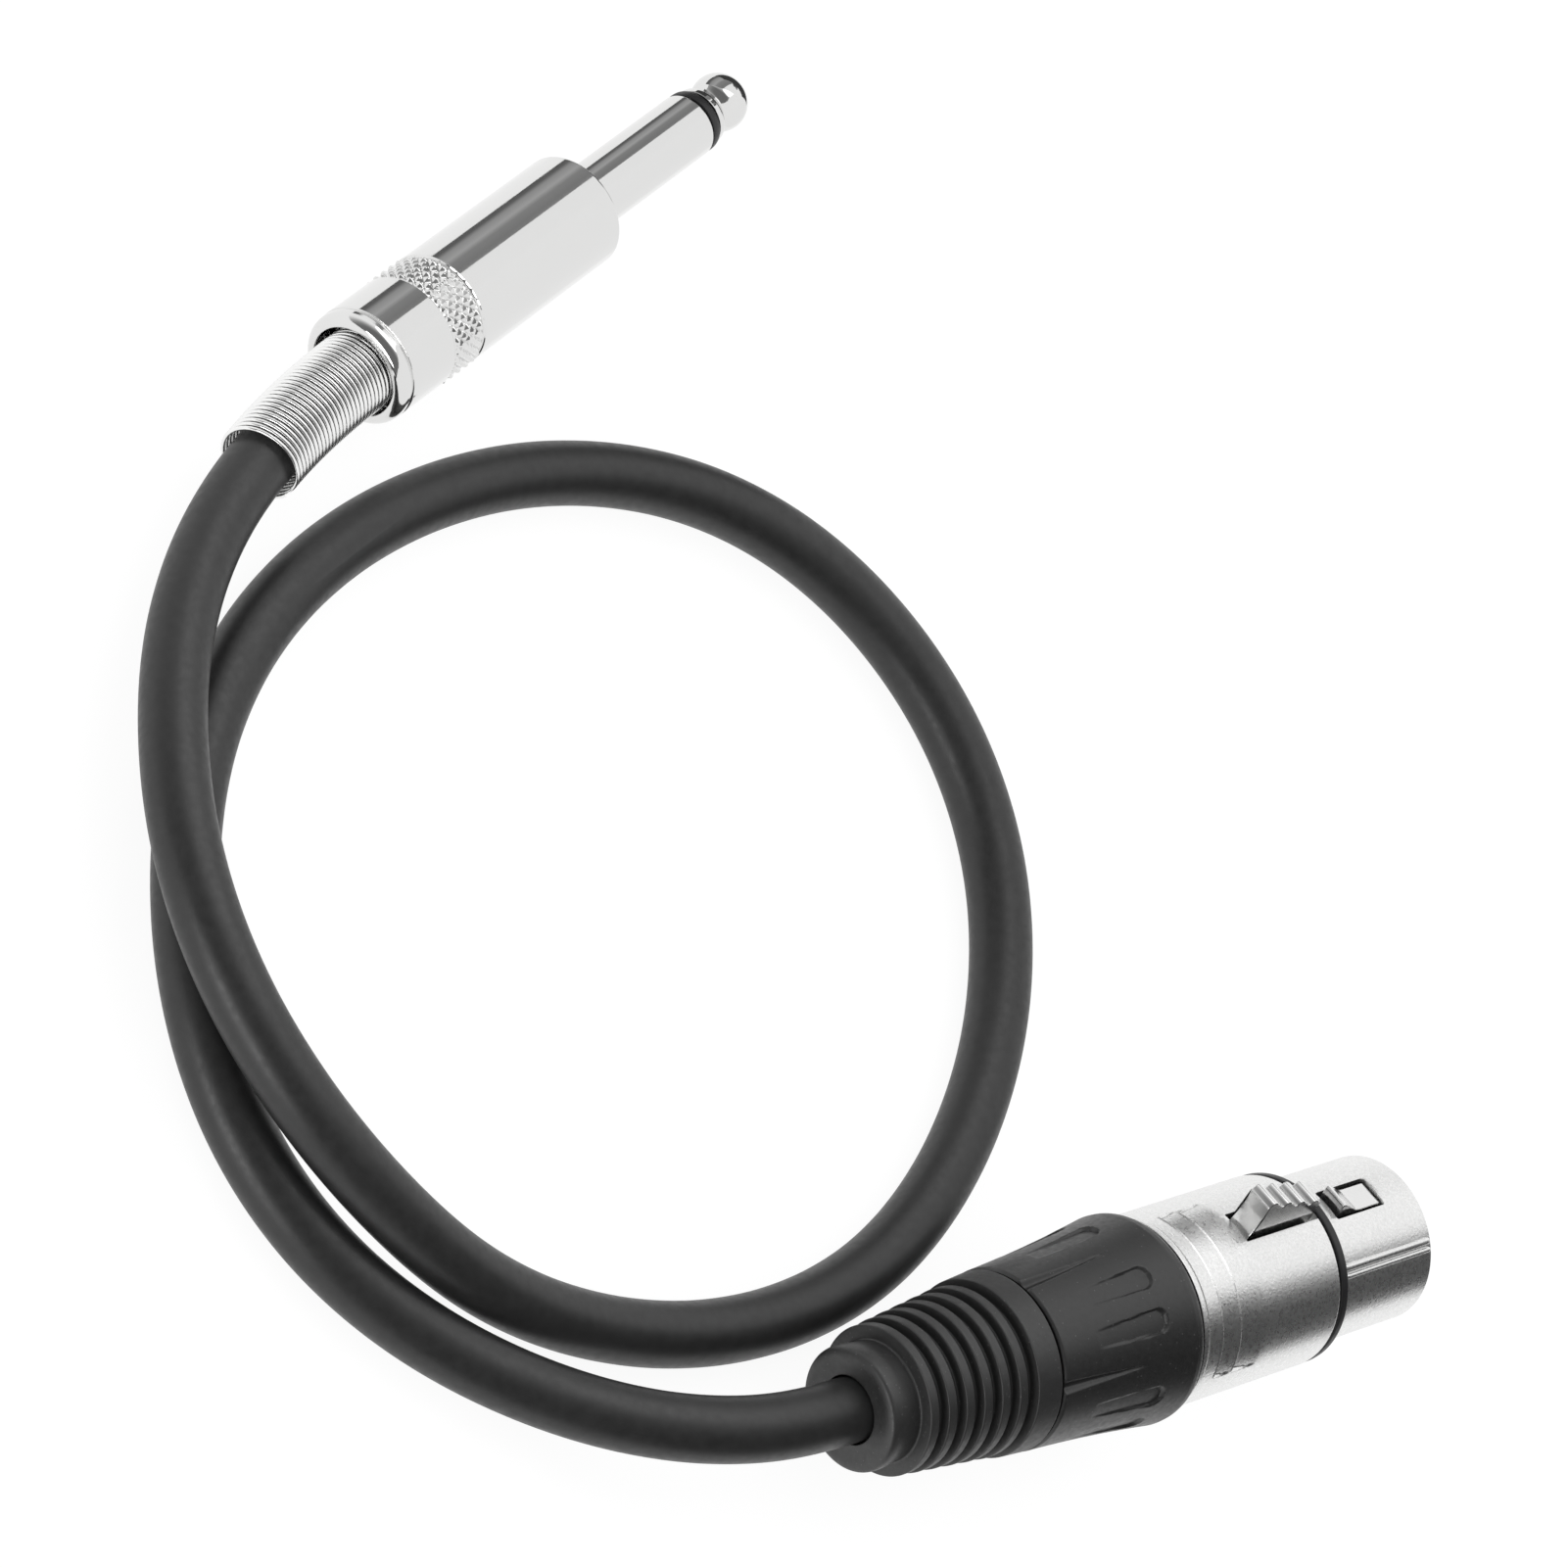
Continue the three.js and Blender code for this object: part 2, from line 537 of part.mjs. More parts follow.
add(connector, 'xlr_shell', MATERIALS.satinNickel, makeShell());
add(connector, 'xlr_ring', MATERIALS.blackPlastic, makeRing());
add(connector, 'xlr_insert', MATERIALS.blackPlastic, makeInsert());
contactAngles.forEach((angle, k) => {
  add(connector, `xlr_contact_${k + 1}`, MATERIALS.contactBrass, makeContact(angle));
});
add(connector, 'xlr_latch', MATERIALS.brightNickel, makeLatch());
add(connector, 'xlr_latch_spring', MATERIALS.springSteel, makeLatchSpring());
add(connector, 'xlr_collet', MATERIALS.blackPlastic, makeCollet());
add(connector, 'xlr_nut', MATERIALS.nutPlastic, makeNut());
add(connector, 'xlr_boot', MATERIALS.rubber, makeBoot());
add(connector, 'xlr_wire_shield', MATERIALS.copper, makeConnectorWire(contactAngles[0], contactAngles[0]));
add(connector, 'xlr_wire_hot', MATERIALS.red, makeConnectorWire(contactAngles[1], contactAngles[1]));
add(connector, 'xlr_wire_cold', MATERIALS.white, makeConnectorWire(contactAngles[2], contactAngles[2]));

// ---------------------------------------------------------------- jack plug

const sleeveRadius = SLEEVE_DIAMETER / 2;
const rodRadius = ROD_DIAMETER / 2;
const handleRadius = HANDLE_DIAMETER / 2;
const handleBore = handleRadius - HANDLE_WALL;
const flangeRadius = handleBore - CLEARANCE;
const flangeEnd = HANDLE_TRAVEL + 0.3;
const sleeveRear = 6.0;
const insulatorRear = -SLEEVE_LENGTH;
const insulatorFront = insulatorRear - INSULATOR_WIDTH;
const coreRadius = rodRadius + CLEARANCE;
const coreTube = coreRadius + 0.4;
const holeRadius = SPRING_DIAMETER / 2 + SPRING_PLAY;
const shoulderFront = HANDLE_LENGTH - 1.9;
const washerRear = sleeveRear + 2.1;
const rodRear = washerRear + 2.4;

function makeTip() {
  const ball = BALL_DIAMETER / 2;
  const front = insulatorFront - TIP_LENGTH;
  const ballAt = front + 2.6;
  const waist = 1.95;
  const profile = [[0, front]];
  // The nose of the ball, then its back as an arc down to the waist.
  for (const degrees of [18, 36, 54, 72, 90]) {
    const turn = radians(degrees);
    profile.push([ball * Math.sin(turn), ballAt - 2.6 * Math.cos(turn)]);
  }
  profile.push([ball * 0.94, ballAt + 0.75], [ball * 0.8, ballAt + 1.35], [waist, ballAt + 1.9]);
  profile.push([waist, ballAt + 2.3], [2.25, ballAt + 2.8], [sleeveRadius - 0.25, ballAt + 3.5]);
  profile.push([sleeveRadius - 0.25, insulatorFront - CLEARANCE], [rodRadius, insulatorFront - CLEARANCE]);
  profile.push([rodRadius, rodRear], [0, rodRear]);
  return turned(profile, 24);
}

function makeInsulator() {
  const outer = [
    [sleeveRadius, insulatorFront], [sleeveRadius, insulatorRear - CLEARANCE],
    [coreTube, insulatorRear - CLEARANCE], [coreTube, sleeveRear + 0.9],
  ];
  return turnedRing(outer, [[coreRadius, insulatorFront], [coreRadius, sleeveRear + 0.9]], 24);
}

function makeSleeve() {
  const bore = coreTube + CLEARANCE;
  const outer = [
    [sleeveRadius - 0.1, insulatorRear], [sleeveRadius, insulatorRear + 0.15], [sleeveRadius, 0.2],
    [flangeRadius - 0.2, 0.2], [flangeRadius, 0.5], [flangeRadius, flangeEnd],
    [flangeRadius - 0.7, flangeEnd], [flangeRadius - 0.7, sleeveRear],
  ];
  return turnedRing(outer, [[bore, insulatorRear], [bore, sleeveRear]], 32);
}

const clampRadius = CABLE_DIAMETER / 2 + CLEARANCE + 0.05;
const clampOuter = clampRadius + 0.6;
const clampFront = CABLE_START + 0.3;

// The earth tag: a washer behind the sleeve, an arm, and two ears bent round the jacket.
function makeGroundClamp() {
  const washer = tube(flangeRadius - 0.7, coreTube + CLEARANCE, sleeveRear + CLEARANCE, sleeveRear + 0.9, 24);
  const arm = block([sleeveRear + 0.4, clampFront + 1], [-clampOuter, -clampOuter + 0.6], 2.6);
  let ears = tube(clampOuter, clampRadius, clampFront, clampFront + CLAMP_LENGTH, 24);
  ears = ears.subtract(block([clampFront - 1, clampFront + CLAMP_LENGTH + 1], [0, clampOuter + 1], 3.2));
  return washer.add(arm).add(ears);
}

function makeTipLug() {
  const front = washerRear;
  const ring = tube(2.4, rodRadius + 0.25, front, front + 0.6, 20);
  const tab = block([front, front + 4.5], [1.6, 2.2], 1.8);
  return ring.add(tab);
}

function makeFibreWasher() {
  return tube(3.2, coreRadius, sleeveRear + 1.2, washerRear - CLEARANCE, 20);
}

function makeLiner() {
  const outer = handleBore - CLEARANCE;
  return tube(outer, outer - 0.35, sleeveRear + 2.5, CABLE_START + 4.5, 28);
}

function makeHandle() {
  const knurl = KNURL_DIAMETER / 2;
  const knurlRear = KNURL_FRONT + KNURL_LENGTH;
  const outer = [
    [handleRadius - 0.3, 0], [handleRadius, 0.3], [handleRadius, KNURL_FRONT], [knurl, KNURL_FRONT + 0.1],
    [knurl, knurlRear - 0.1], [handleRadius, knurlRear], [handleRadius, shoulderFront + 0.3],
    [handleRadius - 0.1, HANDLE_LENGTH - 0.9], [handleRadius - 0.45, HANDLE_LENGTH - 0.3],
    [handleRadius - 0.85, HANDLE_LENGTH],
  ];
  const inner = [
    [handleBore, 0], [handleBore, shoulderFront], [holeRadius, shoulderFront + 0.6], [holeRadius, HANDLE_LENGTH],
  ];
  return turnedRing(outer, inner, 40);
}

// The strain relief: one close-wound wire along the cable's own centre line, flared inside the handle.
function makeSpring() {
  const stepsPerCurl = 8;
  const sides = 5;
  const wireRadius = SPRING_WIRE / 2;
  const flareFront = shoulderFront - 3 * SPRING_PITCH - 0.3;
  const from = flareFront - CABLE_START;
  const to = SPRING_END - CABLE_START;
  const curls = Math.round((to - from) / SPRING_PITCH);
  const steps = curls * stepsPerCurl;
  const centres = [];
  const positions = [];
  const index = [];
  for (let i = 0; i <= steps; i += 1) {
    const along = from + ((to - from) * i) / steps;
    const share = along / routeLength;
    const centre = route.getPointAt(share);
    const forward = route.getTangentAt(share);
    const side = new THREE.Vector3(0, 0, 1).cross(forward).normalize();
    const up = forward.clone().cross(side);
    const taper = THREE.MathUtils.mapLinear(along, from, to, SPRING_DIAMETER, SPRING_END_DIAMETER) / 2;
    const flare = THREE.MathUtils.smoothstep(-i, -2.6 * stepsPerCurl, -1.8 * stepsPerCurl);
    const radius = THREE.MathUtils.lerp(taper, SPRING_FLARE_DIAMETER / 2, flare) - wireRadius;
    const turn = (2 * Math.PI * i) / stepsPerCurl;
    const outward = side.clone().multiplyScalar(Math.cos(turn)).addScaledVector(up, Math.sin(turn));
    const middle = centre.clone().addScaledVector(outward, radius);
    centres.push(middle);
    for (let k = 0; k < sides; k += 1) {
      const around = (2 * Math.PI * k) / sides;
      const point = middle.clone().addScaledVector(outward, wireRadius * Math.cos(around));
      point.addScaledVector(forward, (SPRING_WIRE_ALONG / 2) * Math.sin(around));
      positions.push(point.x, point.y, point.z);
    }
  }
  for (let i = 0; i < steps; i += 1) {
    for (let k = 0; k < sides; k += 1) {
      const [a, b] = [i * sides + k, i * sides + ((k + 1) % sides)];
      index.push(a, b, a + sides, b, b + sides, a + sides);
    }
  }
  for (let k = 1; k < sides - 1; k += 1) {
    index.push(0, k + 1, k);
    index.push(steps * sides, steps * sides + k, steps * sides + k + 1);
  }
  const geometry = new THREE.BufferGeometry();
  geometry.setAttribute('position', new THREE.Float32BufferAttribute(positions, 3));
  geometry.setIndex(index);
  const gap = leastGap(centres, SPRING_WIRE_ALONG, stepsPerCurl - 1);
  console.log(`strain relief spring: ${curls} curls, least gap to itself ${gap.toFixed(2)} mm`);
  return solid(geometry);
}

function makePlugWire(start, exit) {
  const end = CABLE_START - CLEARANCE;
  return wire([start, [start[0], start[1] + 2, start[2]], [exit[0], end - 2.5, exit[1]], [exit[0], end, exit[1]]],
    WIRE_DIAMETER);
}

add(plug, 'jack_tip', MATERIALS.brightNickel, makeTip());
add(plug, 'jack_insulator', MATERIALS.blackPlastic, makeInsulator());
add(plug, 'jack_sleeve', MATERIALS.brightNickel, makeSleeve());
add(plug, 'jack_ground_clamp', MATERIALS.tinnedSteel, makeGroundClamp());
add(plug, 'jack_tip_lug', MATERIALS.tinnedSteel, makeTipLug());
add(plug, 'jack_fibre_washer', MATERIALS.liner, makeFibreWasher());
add(plug, 'jack_liner', MATERIALS.liner, makeLiner());
add(plug, 'jack_handle', MATERIALS.brightNickel, makeHandle());
add(plug, 'jack_wire_tip', MATERIALS.red, makePlugWire([0, 12.8, 1.2], [0, 1.2]));
add(plug, 'jack_wire_ground', MATERIALS.copper, makePlugWire([0, 14, -2.2], [0, -1.6]));
add(object, 'jack_spring', MATERIALS.springSteel, makeSpring());
add(object, 'cable_jacket', MATERIALS.jacket, makeJacket());

// ---------------------------------------------------------------- origin

// The origin is under the middle of the two connectors, on the surface that they lie on.
object.updateMatrixWorld(true);
const box = new THREE.Box3();
object.traverse((mesh) => {
  if (mesh.isMesh && mesh.name !== 'cable_jacket') box.expandByObject(mesh, true);
});
const middle = box.getCenter(new THREE.Vector3());
object.position.set(-middle.x, -middle.y, -box.min.z);

const part = new THREE.Group();
part.add(object);
export default part;
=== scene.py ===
"""A short audio cable in a loose loop, with a jack plug on one end and an XLR connector on the other."""

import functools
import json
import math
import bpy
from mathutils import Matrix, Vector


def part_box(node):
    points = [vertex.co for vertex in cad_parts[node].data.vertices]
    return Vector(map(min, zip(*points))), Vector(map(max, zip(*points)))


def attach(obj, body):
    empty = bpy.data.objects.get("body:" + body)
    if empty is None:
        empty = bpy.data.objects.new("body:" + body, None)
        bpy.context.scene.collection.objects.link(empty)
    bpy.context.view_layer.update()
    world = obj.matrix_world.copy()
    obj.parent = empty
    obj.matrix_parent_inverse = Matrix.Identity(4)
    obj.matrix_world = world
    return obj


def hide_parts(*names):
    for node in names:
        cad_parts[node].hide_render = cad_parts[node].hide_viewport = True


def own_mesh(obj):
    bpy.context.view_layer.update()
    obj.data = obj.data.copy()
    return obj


bl_info = {
    "name": "Looped Audio Cable",
    "version": (1, 0, 0),
    "blender": (4, 5, 0),
    "location": "3D View > Sidebar > Cable",
    "description": "Builds the finished surfaces of a looped audio cable round its packed solids",
    "category": "Object",
}

import bmesh
import bpy
import numpy as np
from mathutils import Matrix, Vector

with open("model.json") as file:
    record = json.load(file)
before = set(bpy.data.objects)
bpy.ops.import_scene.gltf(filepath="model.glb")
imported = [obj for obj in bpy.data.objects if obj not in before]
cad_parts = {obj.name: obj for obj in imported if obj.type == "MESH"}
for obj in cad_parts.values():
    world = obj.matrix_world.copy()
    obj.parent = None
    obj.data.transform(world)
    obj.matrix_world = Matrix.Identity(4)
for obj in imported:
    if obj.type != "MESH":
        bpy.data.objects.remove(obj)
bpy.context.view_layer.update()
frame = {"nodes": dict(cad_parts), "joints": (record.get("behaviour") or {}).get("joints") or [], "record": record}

MM = 0.001
UP = np.array([0.0, 0.0, 1.0])
FULL_TURN = 2 * math.pi
WHITE = (1.0, 1.0, 1.0, 1.0)
HANDLE_LENGTH = 33.2                    # millimetres
CREASE_ANGLE = math.radians(35)         # edges sharper than this stay sharp when shaded
SOFTENED_ANGLE = math.radians(50)       # edges sharper than this are bevelled
MOST_CORNERS_SMOOTH = 12                # a face with more corners is a flat end

# The cable's centre line: control points of a uniform cubic B-spline, in metres, with the large
# connector's front at x = 0, y = 0 and the surface at z = 0.
ROUTE = [
    (-0.1058, -0.0695, 0.0057), (-0.1018, -0.0806, 0.0057), (-0.0973, -0.0916, 0.0057),
    (-0.0909, -0.1017, 0.0055), (-0.0824, -0.1100, 0.0063), (-0.0722, -0.1160, 0.0078),
    (-0.0609, -0.1196, 0.0092), (-0.0489, -0.1196, 0.0100), (-0.0372, -0.1156, 0.0097),
    (-0.0275, -0.1084, 0.0075), (-0.0200, -0.1000, 0.0047), (-0.0143, -0.0900, 0.0032),
    (-0.0105, -0.0787, 0.0030), (-0.0094, -0.0668, 0.0030), (-0.0112, -0.0550, 0.0030),
    (-0.0163, -0.0442, 0.0030), (-0.0238, -0.0349, 0.0030), (-0.0332, -0.0277, 0.0030),
    (-0.0444, -0.0233, 0.0030), (-0.0564, -0.0229, 0.0030), (-0.0678, -0.0266, 0.0030),
    (-0.0776, -0.0336, 0.0030), (-0.0847, -0.0433, 0.0030), (-0.0887, -0.0546, 0.0030),
    (-0.0902, -0.0664, 0.0030), (-0.0893, -0.0783, 0.0030), (-0.0862, -0.0898, 0.0030),
    (-0.0807, -0.1004, 0.0030), (-0.0726, -0.1092, 0.0030), (-0.0623, -0.1153, 0.0030),
    (-0.0508, -0.1188, 0.0030), (-0.0389, -0.1189, 0.0030), (-0.0277, -0.1150, 0.0030),
    (-0.0182, -0.1076, 0.0030), (-0.0102, -0.0982, 0.0039), (-0.0037, -0.0888, 0.0073),
    (0.0, -0.0777, 0.0100), (0.0, -0.0658, 0.0100), (0.0, -0.0500, 0.0100), (0.0, -0.0320, 0.0100),
]


# ---------------- places


class Seat:
    """A connector's own frame: its front on its axis is the origin, +Y points out of it, +Z is up."""

    def __init__(self, front, forward):
        self.front = np.array(front, float)
        self.forward = np.array(forward, float) / np.linalg.norm(forward)
        self.axes = np.stack([np.cross(self.forward, UP), self.forward, UP])

    def place(self, points):
        """Points in this frame, in metres, as points of the whole object."""
        return self.front + points @ self.axes


def node_points(name):
    """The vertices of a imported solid, as an array of rows."""
    vertices = frame["nodes"][name].data.vertices
    flat = np.empty(len(vertices) * 3)
    vertices.foreach_get("co", flat)
    return flat.reshape(-1, 3)


def find_connector_seat():
    """The large connector's seat, from the boxes of its ring and shell."""
    low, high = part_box("xlr_ring")
    middle = (low + high) / 2
    return Seat((middle.x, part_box("xlr_shell")[1].y, middle.z), (0, 1, 0))


def find_plug_seat():
    """The plug's seat, on the axis that its handle turns about, at the handle's front."""
    joint = next(joint for joint in frame["joints"] if joint["name"] == "handle_turn")
    forward = -np.array(joint["axis"], float)
    forward /= np.linalg.norm(forward)
    on_axis = np.array(joint["pos_m"], float)
    reach = ((node_points("jack_handle") - on_axis) @ forward).max()
    return Seat(on_axis + forward * reach, forward)


CONNECTOR = find_connector_seat()
PLUG = find_plug_seat()
TABLE_ORIGIN = np.array([CONNECTOR.front[0], CONNECTOR.front[1], 0.0])


# ---------------- settings


def length(name, description, millimetres):
    return bpy.props.FloatProperty(
        name=name, description=description, default=millimetres * MM, min=0.0,
        unit="LENGTH", subtype="DISTANCE", precision=5)


def angle(name, description, degrees):
    return bpy.props.FloatProperty(
        name=name, description=description, default=math.radians(degrees), subtype="ANGLE")


def share(name, description, value):
    return bpy.props.FloatProperty(
        name=name, description=description, default=value, min=0.0, max=1.0, subtype="FACTOR")


def colour(name, description, red, green, blue):
    return bpy.props.FloatVectorProperty(
        name=name, description=description, default=(red, green, blue), size=3,
        min=0.0, max=1.0, subtype="COLOR")


def count(name, description, number, least):
    return bpy.props.IntProperty(name=name, description=description, default=number, min=least)


class CableSettings(bpy.types.PropertyGroup):
    diameter: length("Diameter", "Outside diameter of the jacket", 6.0)
    sides: count("Sides", "Faces round the jacket", 48, 12)
    tint: colour("Jacket", "Colour of the jacket", 0.016, 0.016, 0.016)
    shine: share("Roughness", "Roughness of the jacket", 0.42)


class ConnectorSettings(bpy.types.PropertyGroup):
    nose: length("Nose", "Outside diameter of the nose", 16.0)
    body: length("Body", "Outside diameter of the body", 18.5)
    nut: length("Nut", "Largest diameter of the gland nut", 20.0)
    nut_sag: length("Nut dip", "How far the nut's outline dips below a straight taper", 0.17)
    nut_rear: length("Nut rear", "Diameter of the gland nut at its rear", 17.1)
    rib_pitch: length("Rib pitch", "Distance from one rib of the boot to the next", 2.05)
    collar: length("Collar", "Diameter of the boot's collar", 17.0)
    ribs: count("Ribs", "Ribs on the boot", 6, 1)
    latch_angle: angle("Latch angle", "Where the latch sits round the axis", -30.0)
    key_angle: angle("Guide angle", "Where the guide rails sit round the axis", 18.0)
    satin: colour("Shell", "Colour of the blasted nickel", 0.82, 0.82, 0.815)
    grain: share("Grain", "Strength of the blasted grain", 0.62)
    nut_tint: colour("Nut colour", "Colour of the nut's plastic", 0.012, 0.012, 0.012)
    boot_tint: colour("Boot colour", "Colour of the boot's rubber", 0.017, 0.017, 0.017)


class PlugSettings(bpy.types.PropertyGroup):
    sleeve: length("Sleeve", "Diameter of the plug's sleeve", 6.35)
    handle: length("Handle", "Diameter of the handle", 11.2)
    knurl: length("Knurl", "Diameter over the knurled band", 11.4)
    diamonds: count("Diamonds", "Diamonds round the knurled band", 32, 6)
    wire: length("Spring wire", "Thickness of the strain relief's wire", 0.38)
    wire_width: length("Wire width", "Width of the strain relief's wire along the cable", 0.42)
    curls: count("Curls", "Curls of the strain relief", 35, 4)
    bright: colour("Bright nickel", "Colour of the polished nickel", 0.755, 0.755, 0.75)


class StudioSettings(bpy.types.PropertyGroup):
    heading: angle("Heading", "Where the camera looks, anticlockwise from +X", 98.1)
    elevation: angle("Elevation", "How far down the camera looks", 47.21)
    roll: angle("Roll", "Turn of the camera about its line of sight", 65.27)
    distance: length("Distance", "From the camera to its target", 640.0)
    target_x: length("Target X", "Target, left of the large connector's front", 56.93)
    target_y: length("Target Y", "Target, behind the large connector's front", 43.28)
    lens: bpy.props.FloatProperty(
        name="Lens", description="Focal length on a 36 mm sensor", default=158.23, unit="CAMERA")


def settings(group):
    return getattr(bpy.context.scene, "looped_cable_" + group)


# ---------------- surfaces


def rounded(corners, steps=5, closed=True):
    """Rows of (radius, distance behind, rounding), in millimetres, as a smooth outline in metres.

    Each corner C becomes the parabola (1-u)^2 A + 2u(1-u) C + u^2 D, where A and D lie on the two
    edges that meet there, at the rounding's distance, or at 0.48 of the edge if that is less. One more
    point on each edge, just before A and just after D, keeps the flat stretches flat when shaded smooth.
    """
    rows = np.array(corners, float) * MM
    place, cut = rows[:, :2], rows[:, 2]
    edges = [np.roll(place, 1, 0) - place, np.roll(place, -1, 0) - place]
    if not closed:
        edges[0][0] = edges[1][-1] = 0.0
    u = np.linspace(0, 1, steps)[None, :, None]
    parts = []
    for edge in edges:
        far = np.maximum(np.linalg.norm(edge, axis=1), 1e-9)
        near = np.minimum(cut / far, 0.44)
        beyond = near + np.minimum(0.25 * near + 0.02 * MM / far, 0.05)
        parts.append([place + edge * along[:, None] for along in (near, beyond)])
    (start, before), (end, after) = parts
    curve = (1 - u) ** 2 * start[:, None] + 2 * u * (1 - u) * place[:, None] + u**2 * end[:, None]
    flat = np.concatenate([before[:, None], curve, after[:, None]], axis=1).reshape(-1, 2)
    keep = np.linalg.norm(flat - np.roll(flat, 1, 0), axis=1) > 1e-8
    if not closed:
        keep[0] = True
    return flat[keep]


def angles_round(segments):
    """Evenly spaced angles round an axis, from straight up."""
    return np.linspace(0, FULL_TURN, segments, endpoint=False)


def wrapped(radius, behind, turn):
    """Points (r sin a, -s, r cos a), from radii r, distances s behind the front and angles a."""
    return np.stack([radius * np.sin(turn), -behind * np.ones_like(turn), radius * np.cos(turn)], axis=-1)


def round_the_axis(outline, turn):
    """An outline of (radius, distance behind) turned through every angle."""
    return wrapped(outline[:, 0:1], outline[:, 1:2], turn)


def bump_up(value, low, high):
    """0 below low, 1 above high and a smooth S between them."""
    t = np.clip((value - low) / (high - low), 0, 1)
    return t * t * (3 - 2 * t)


def make_object(name, points, faces):
    mesh = bpy.data.meshes.new(name)
    mesh.from_pydata(points.reshape(-1, 3).tolist(), [], faces)
    piece = bpy.data.objects.new(name, mesh)
    bpy.context.scene.collection.objects.link(piece)
    return piece


def sheet_object(name, points, closed=True, capped=False):
    """Quads through a grid of points whose rows are rings, the last joined to the first if it is closed."""
    rows, columns = points.shape[:2]
    row, column = (index.ravel() for index in np.meshgrid(
        np.arange(rows if closed else rows - 1), np.arange(columns), indexing="ij"))
    here, ahead, beside = row * columns, (row + 1) % rows * columns, (column + 1) % columns
    faces = np.stack([here + column, here + beside, ahead + beside, ahead + column], axis=-1).tolist()
    if capped:
        faces += [list(range(columns)), list(range((rows - 1) * columns, rows * columns))]
    return make_object(name, points, faces)


def tube_object(name, centre, first, second, sides):
    """A capped tube through centre + first cos a + second sin a, at every angle a."""
    turn = angles_round(sides)[None, :, None]
    points = centre[:, None] + first[:, None] * np.cos(turn) + second[:, None] * np.sin(turn)
    return sheet_object(name, points, closed=False, capped=True)


def tidy_mesh(piece):
    """Merges doubles, points every face outwards and shades the mesh smooth, sharp at its creases."""
    shape = bmesh.new()
    shape.from_mesh(piece.data)
    bmesh.ops.remove_doubles(shape, verts=shape.verts, dist=2e-7)
    bmesh.ops.dissolve_degenerate(shape, edges=shape.edges, dist=1e-8)
    bmesh.ops.recalc_face_normals(shape, faces=shape.faces)
    shape.to_mesh(piece.data)
    shape.free()
    piece.data.shade_smooth()
    piece.data.set_sharp_from_angle(angle=CREASE_ANGLE)
    faces = piece.data.polygons
    corners = np.empty(len(faces), np.int32)
    faces.foreach_get("loop_total", corners)
    faces.foreach_set("use_smooth", corners <= MOST_CORNERS_SMOOTH)
    piece.data.update()


def turned(name, seat, corners, segments=160, closed=True):
    """A lathe-turned piece: the rounded outline of its corners, turned about the seat's axis."""
    points = round_the_axis(rounded(corners, closed=closed), angles_round(segments))
    return sheet_object(name, seat.place(points), closed)


def ring_corners(outer, inner):
    """A tube's outline: its outer corners from front to rear, then its inner ones back to the front."""
    return list(outer) + list(reversed(inner))


def turn_about_axis(points, radians):
    """Points turned about the seat's axis, from straight up towards its right."""
    sine, cosine = math.sin(radians), math.cos(radians)
    x, z = points[..., 0] * cosine + points[..., 2] * sine, points[..., 2] * cosine - points[..., 0] * sine
    return np.stack([x, points[..., 1], z], axis=-1)


def slab(name, corners, width, edge, radians, offset=0.0):
    """A flat plate with rounded rims: its side outline of (height, distance behind) is carried across.

    At the rim the outline is drawn in by edge * (1 - sqrt(1 - 0.98 t^2)), with t from 0 to 1 over the
    last edge. The plate is moved across by the offset, then turned about the large connector's axis.
    """
    outline = rounded(corners, 4)
    ahead = np.roll(outline, -1, 0) - np.roll(outline, 1, 0)
    inward = np.stack([-ahead[:, 1], ahead[:, 0]], axis=-1)
    inward /= np.linalg.norm(inward, axis=1)[:, None]
    area = np.sum(outline[:, 0] * np.roll(outline[:, 1], -1) - outline[:, 1] * np.roll(outline[:, 0], -1))
    inward *= math.copysign(1, area)
    t = np.linspace(0, 1, 5)
    across = width * MM / 2 - edge * MM * (1 - t)
    drawn = edge * MM * (1 - np.sqrt(1 - t**2 * 0.98))
    across = np.concatenate([-across[::-1], across])
    drawn = np.concatenate([drawn[::-1], drawn])
    place = outline[None] + inward[None] * drawn[:, None, None]
    x = np.broadcast_to(across[:, None] + offset * MM, place.shape[:2])
    points = turn_about_axis(np.stack([x, -place[..., 1], place[..., 0]], axis=-1), radians)
    return sheet_object(name, CONNECTOR.place(points), closed=False, capped=True)


def latch_cutter(behind, height, half, corner):
    """A block to cut the latch's openings with, from ranges in millimetres, its plan's corners rounded."""
    front, rear = behind
    plan = rounded([
        (-half, front, corner), (half, front, corner), (half, rear, corner), (-half, rear, corner)], 6)
    levels = np.array(height)[:, None] * MM
    points = np.stack(np.broadcast_arrays(plan[:, 0], -plan[:, 1], levels), axis=-1)
    points = turn_about_axis(points, settings("connector").latch_angle)
    cutter = sheet_object("cutter", CONNECTOR.place(points), closed=False, capped=True)
    tidy_mesh(cutter)
    return cutter


def apply_modifiers(piece):
    bpy.context.view_layer.update()
    finished = bpy.data.meshes.new_from_object(piece.evaluated_get(bpy.context.evaluated_depsgraph_get()))
    piece.modifiers.clear()
    piece.data = finished


def cut(piece, cutters):
    """Cuts closed pieces out of another, and removes them."""
    for cutter in cutters:
        modifier = piece.modifiers.new("cut", "BOOLEAN")
        modifier.operation = "DIFFERENCE"
        modifier.solver = "EXACT"
        modifier.object = cutter
    apply_modifiers(piece)
    for cutter in cutters:
        bpy.data.objects.remove(cutter)


def soften_edges(piece, width):
    modifier = piece.modifiers.new("edges", "BEVEL")
    modifier.width = width * MM
    modifier.segments = 2
    modifier.limit_method = "ANGLE"
    modifier.angle_limit = SOFTENED_ANGLE
    apply_modifiers(piece)


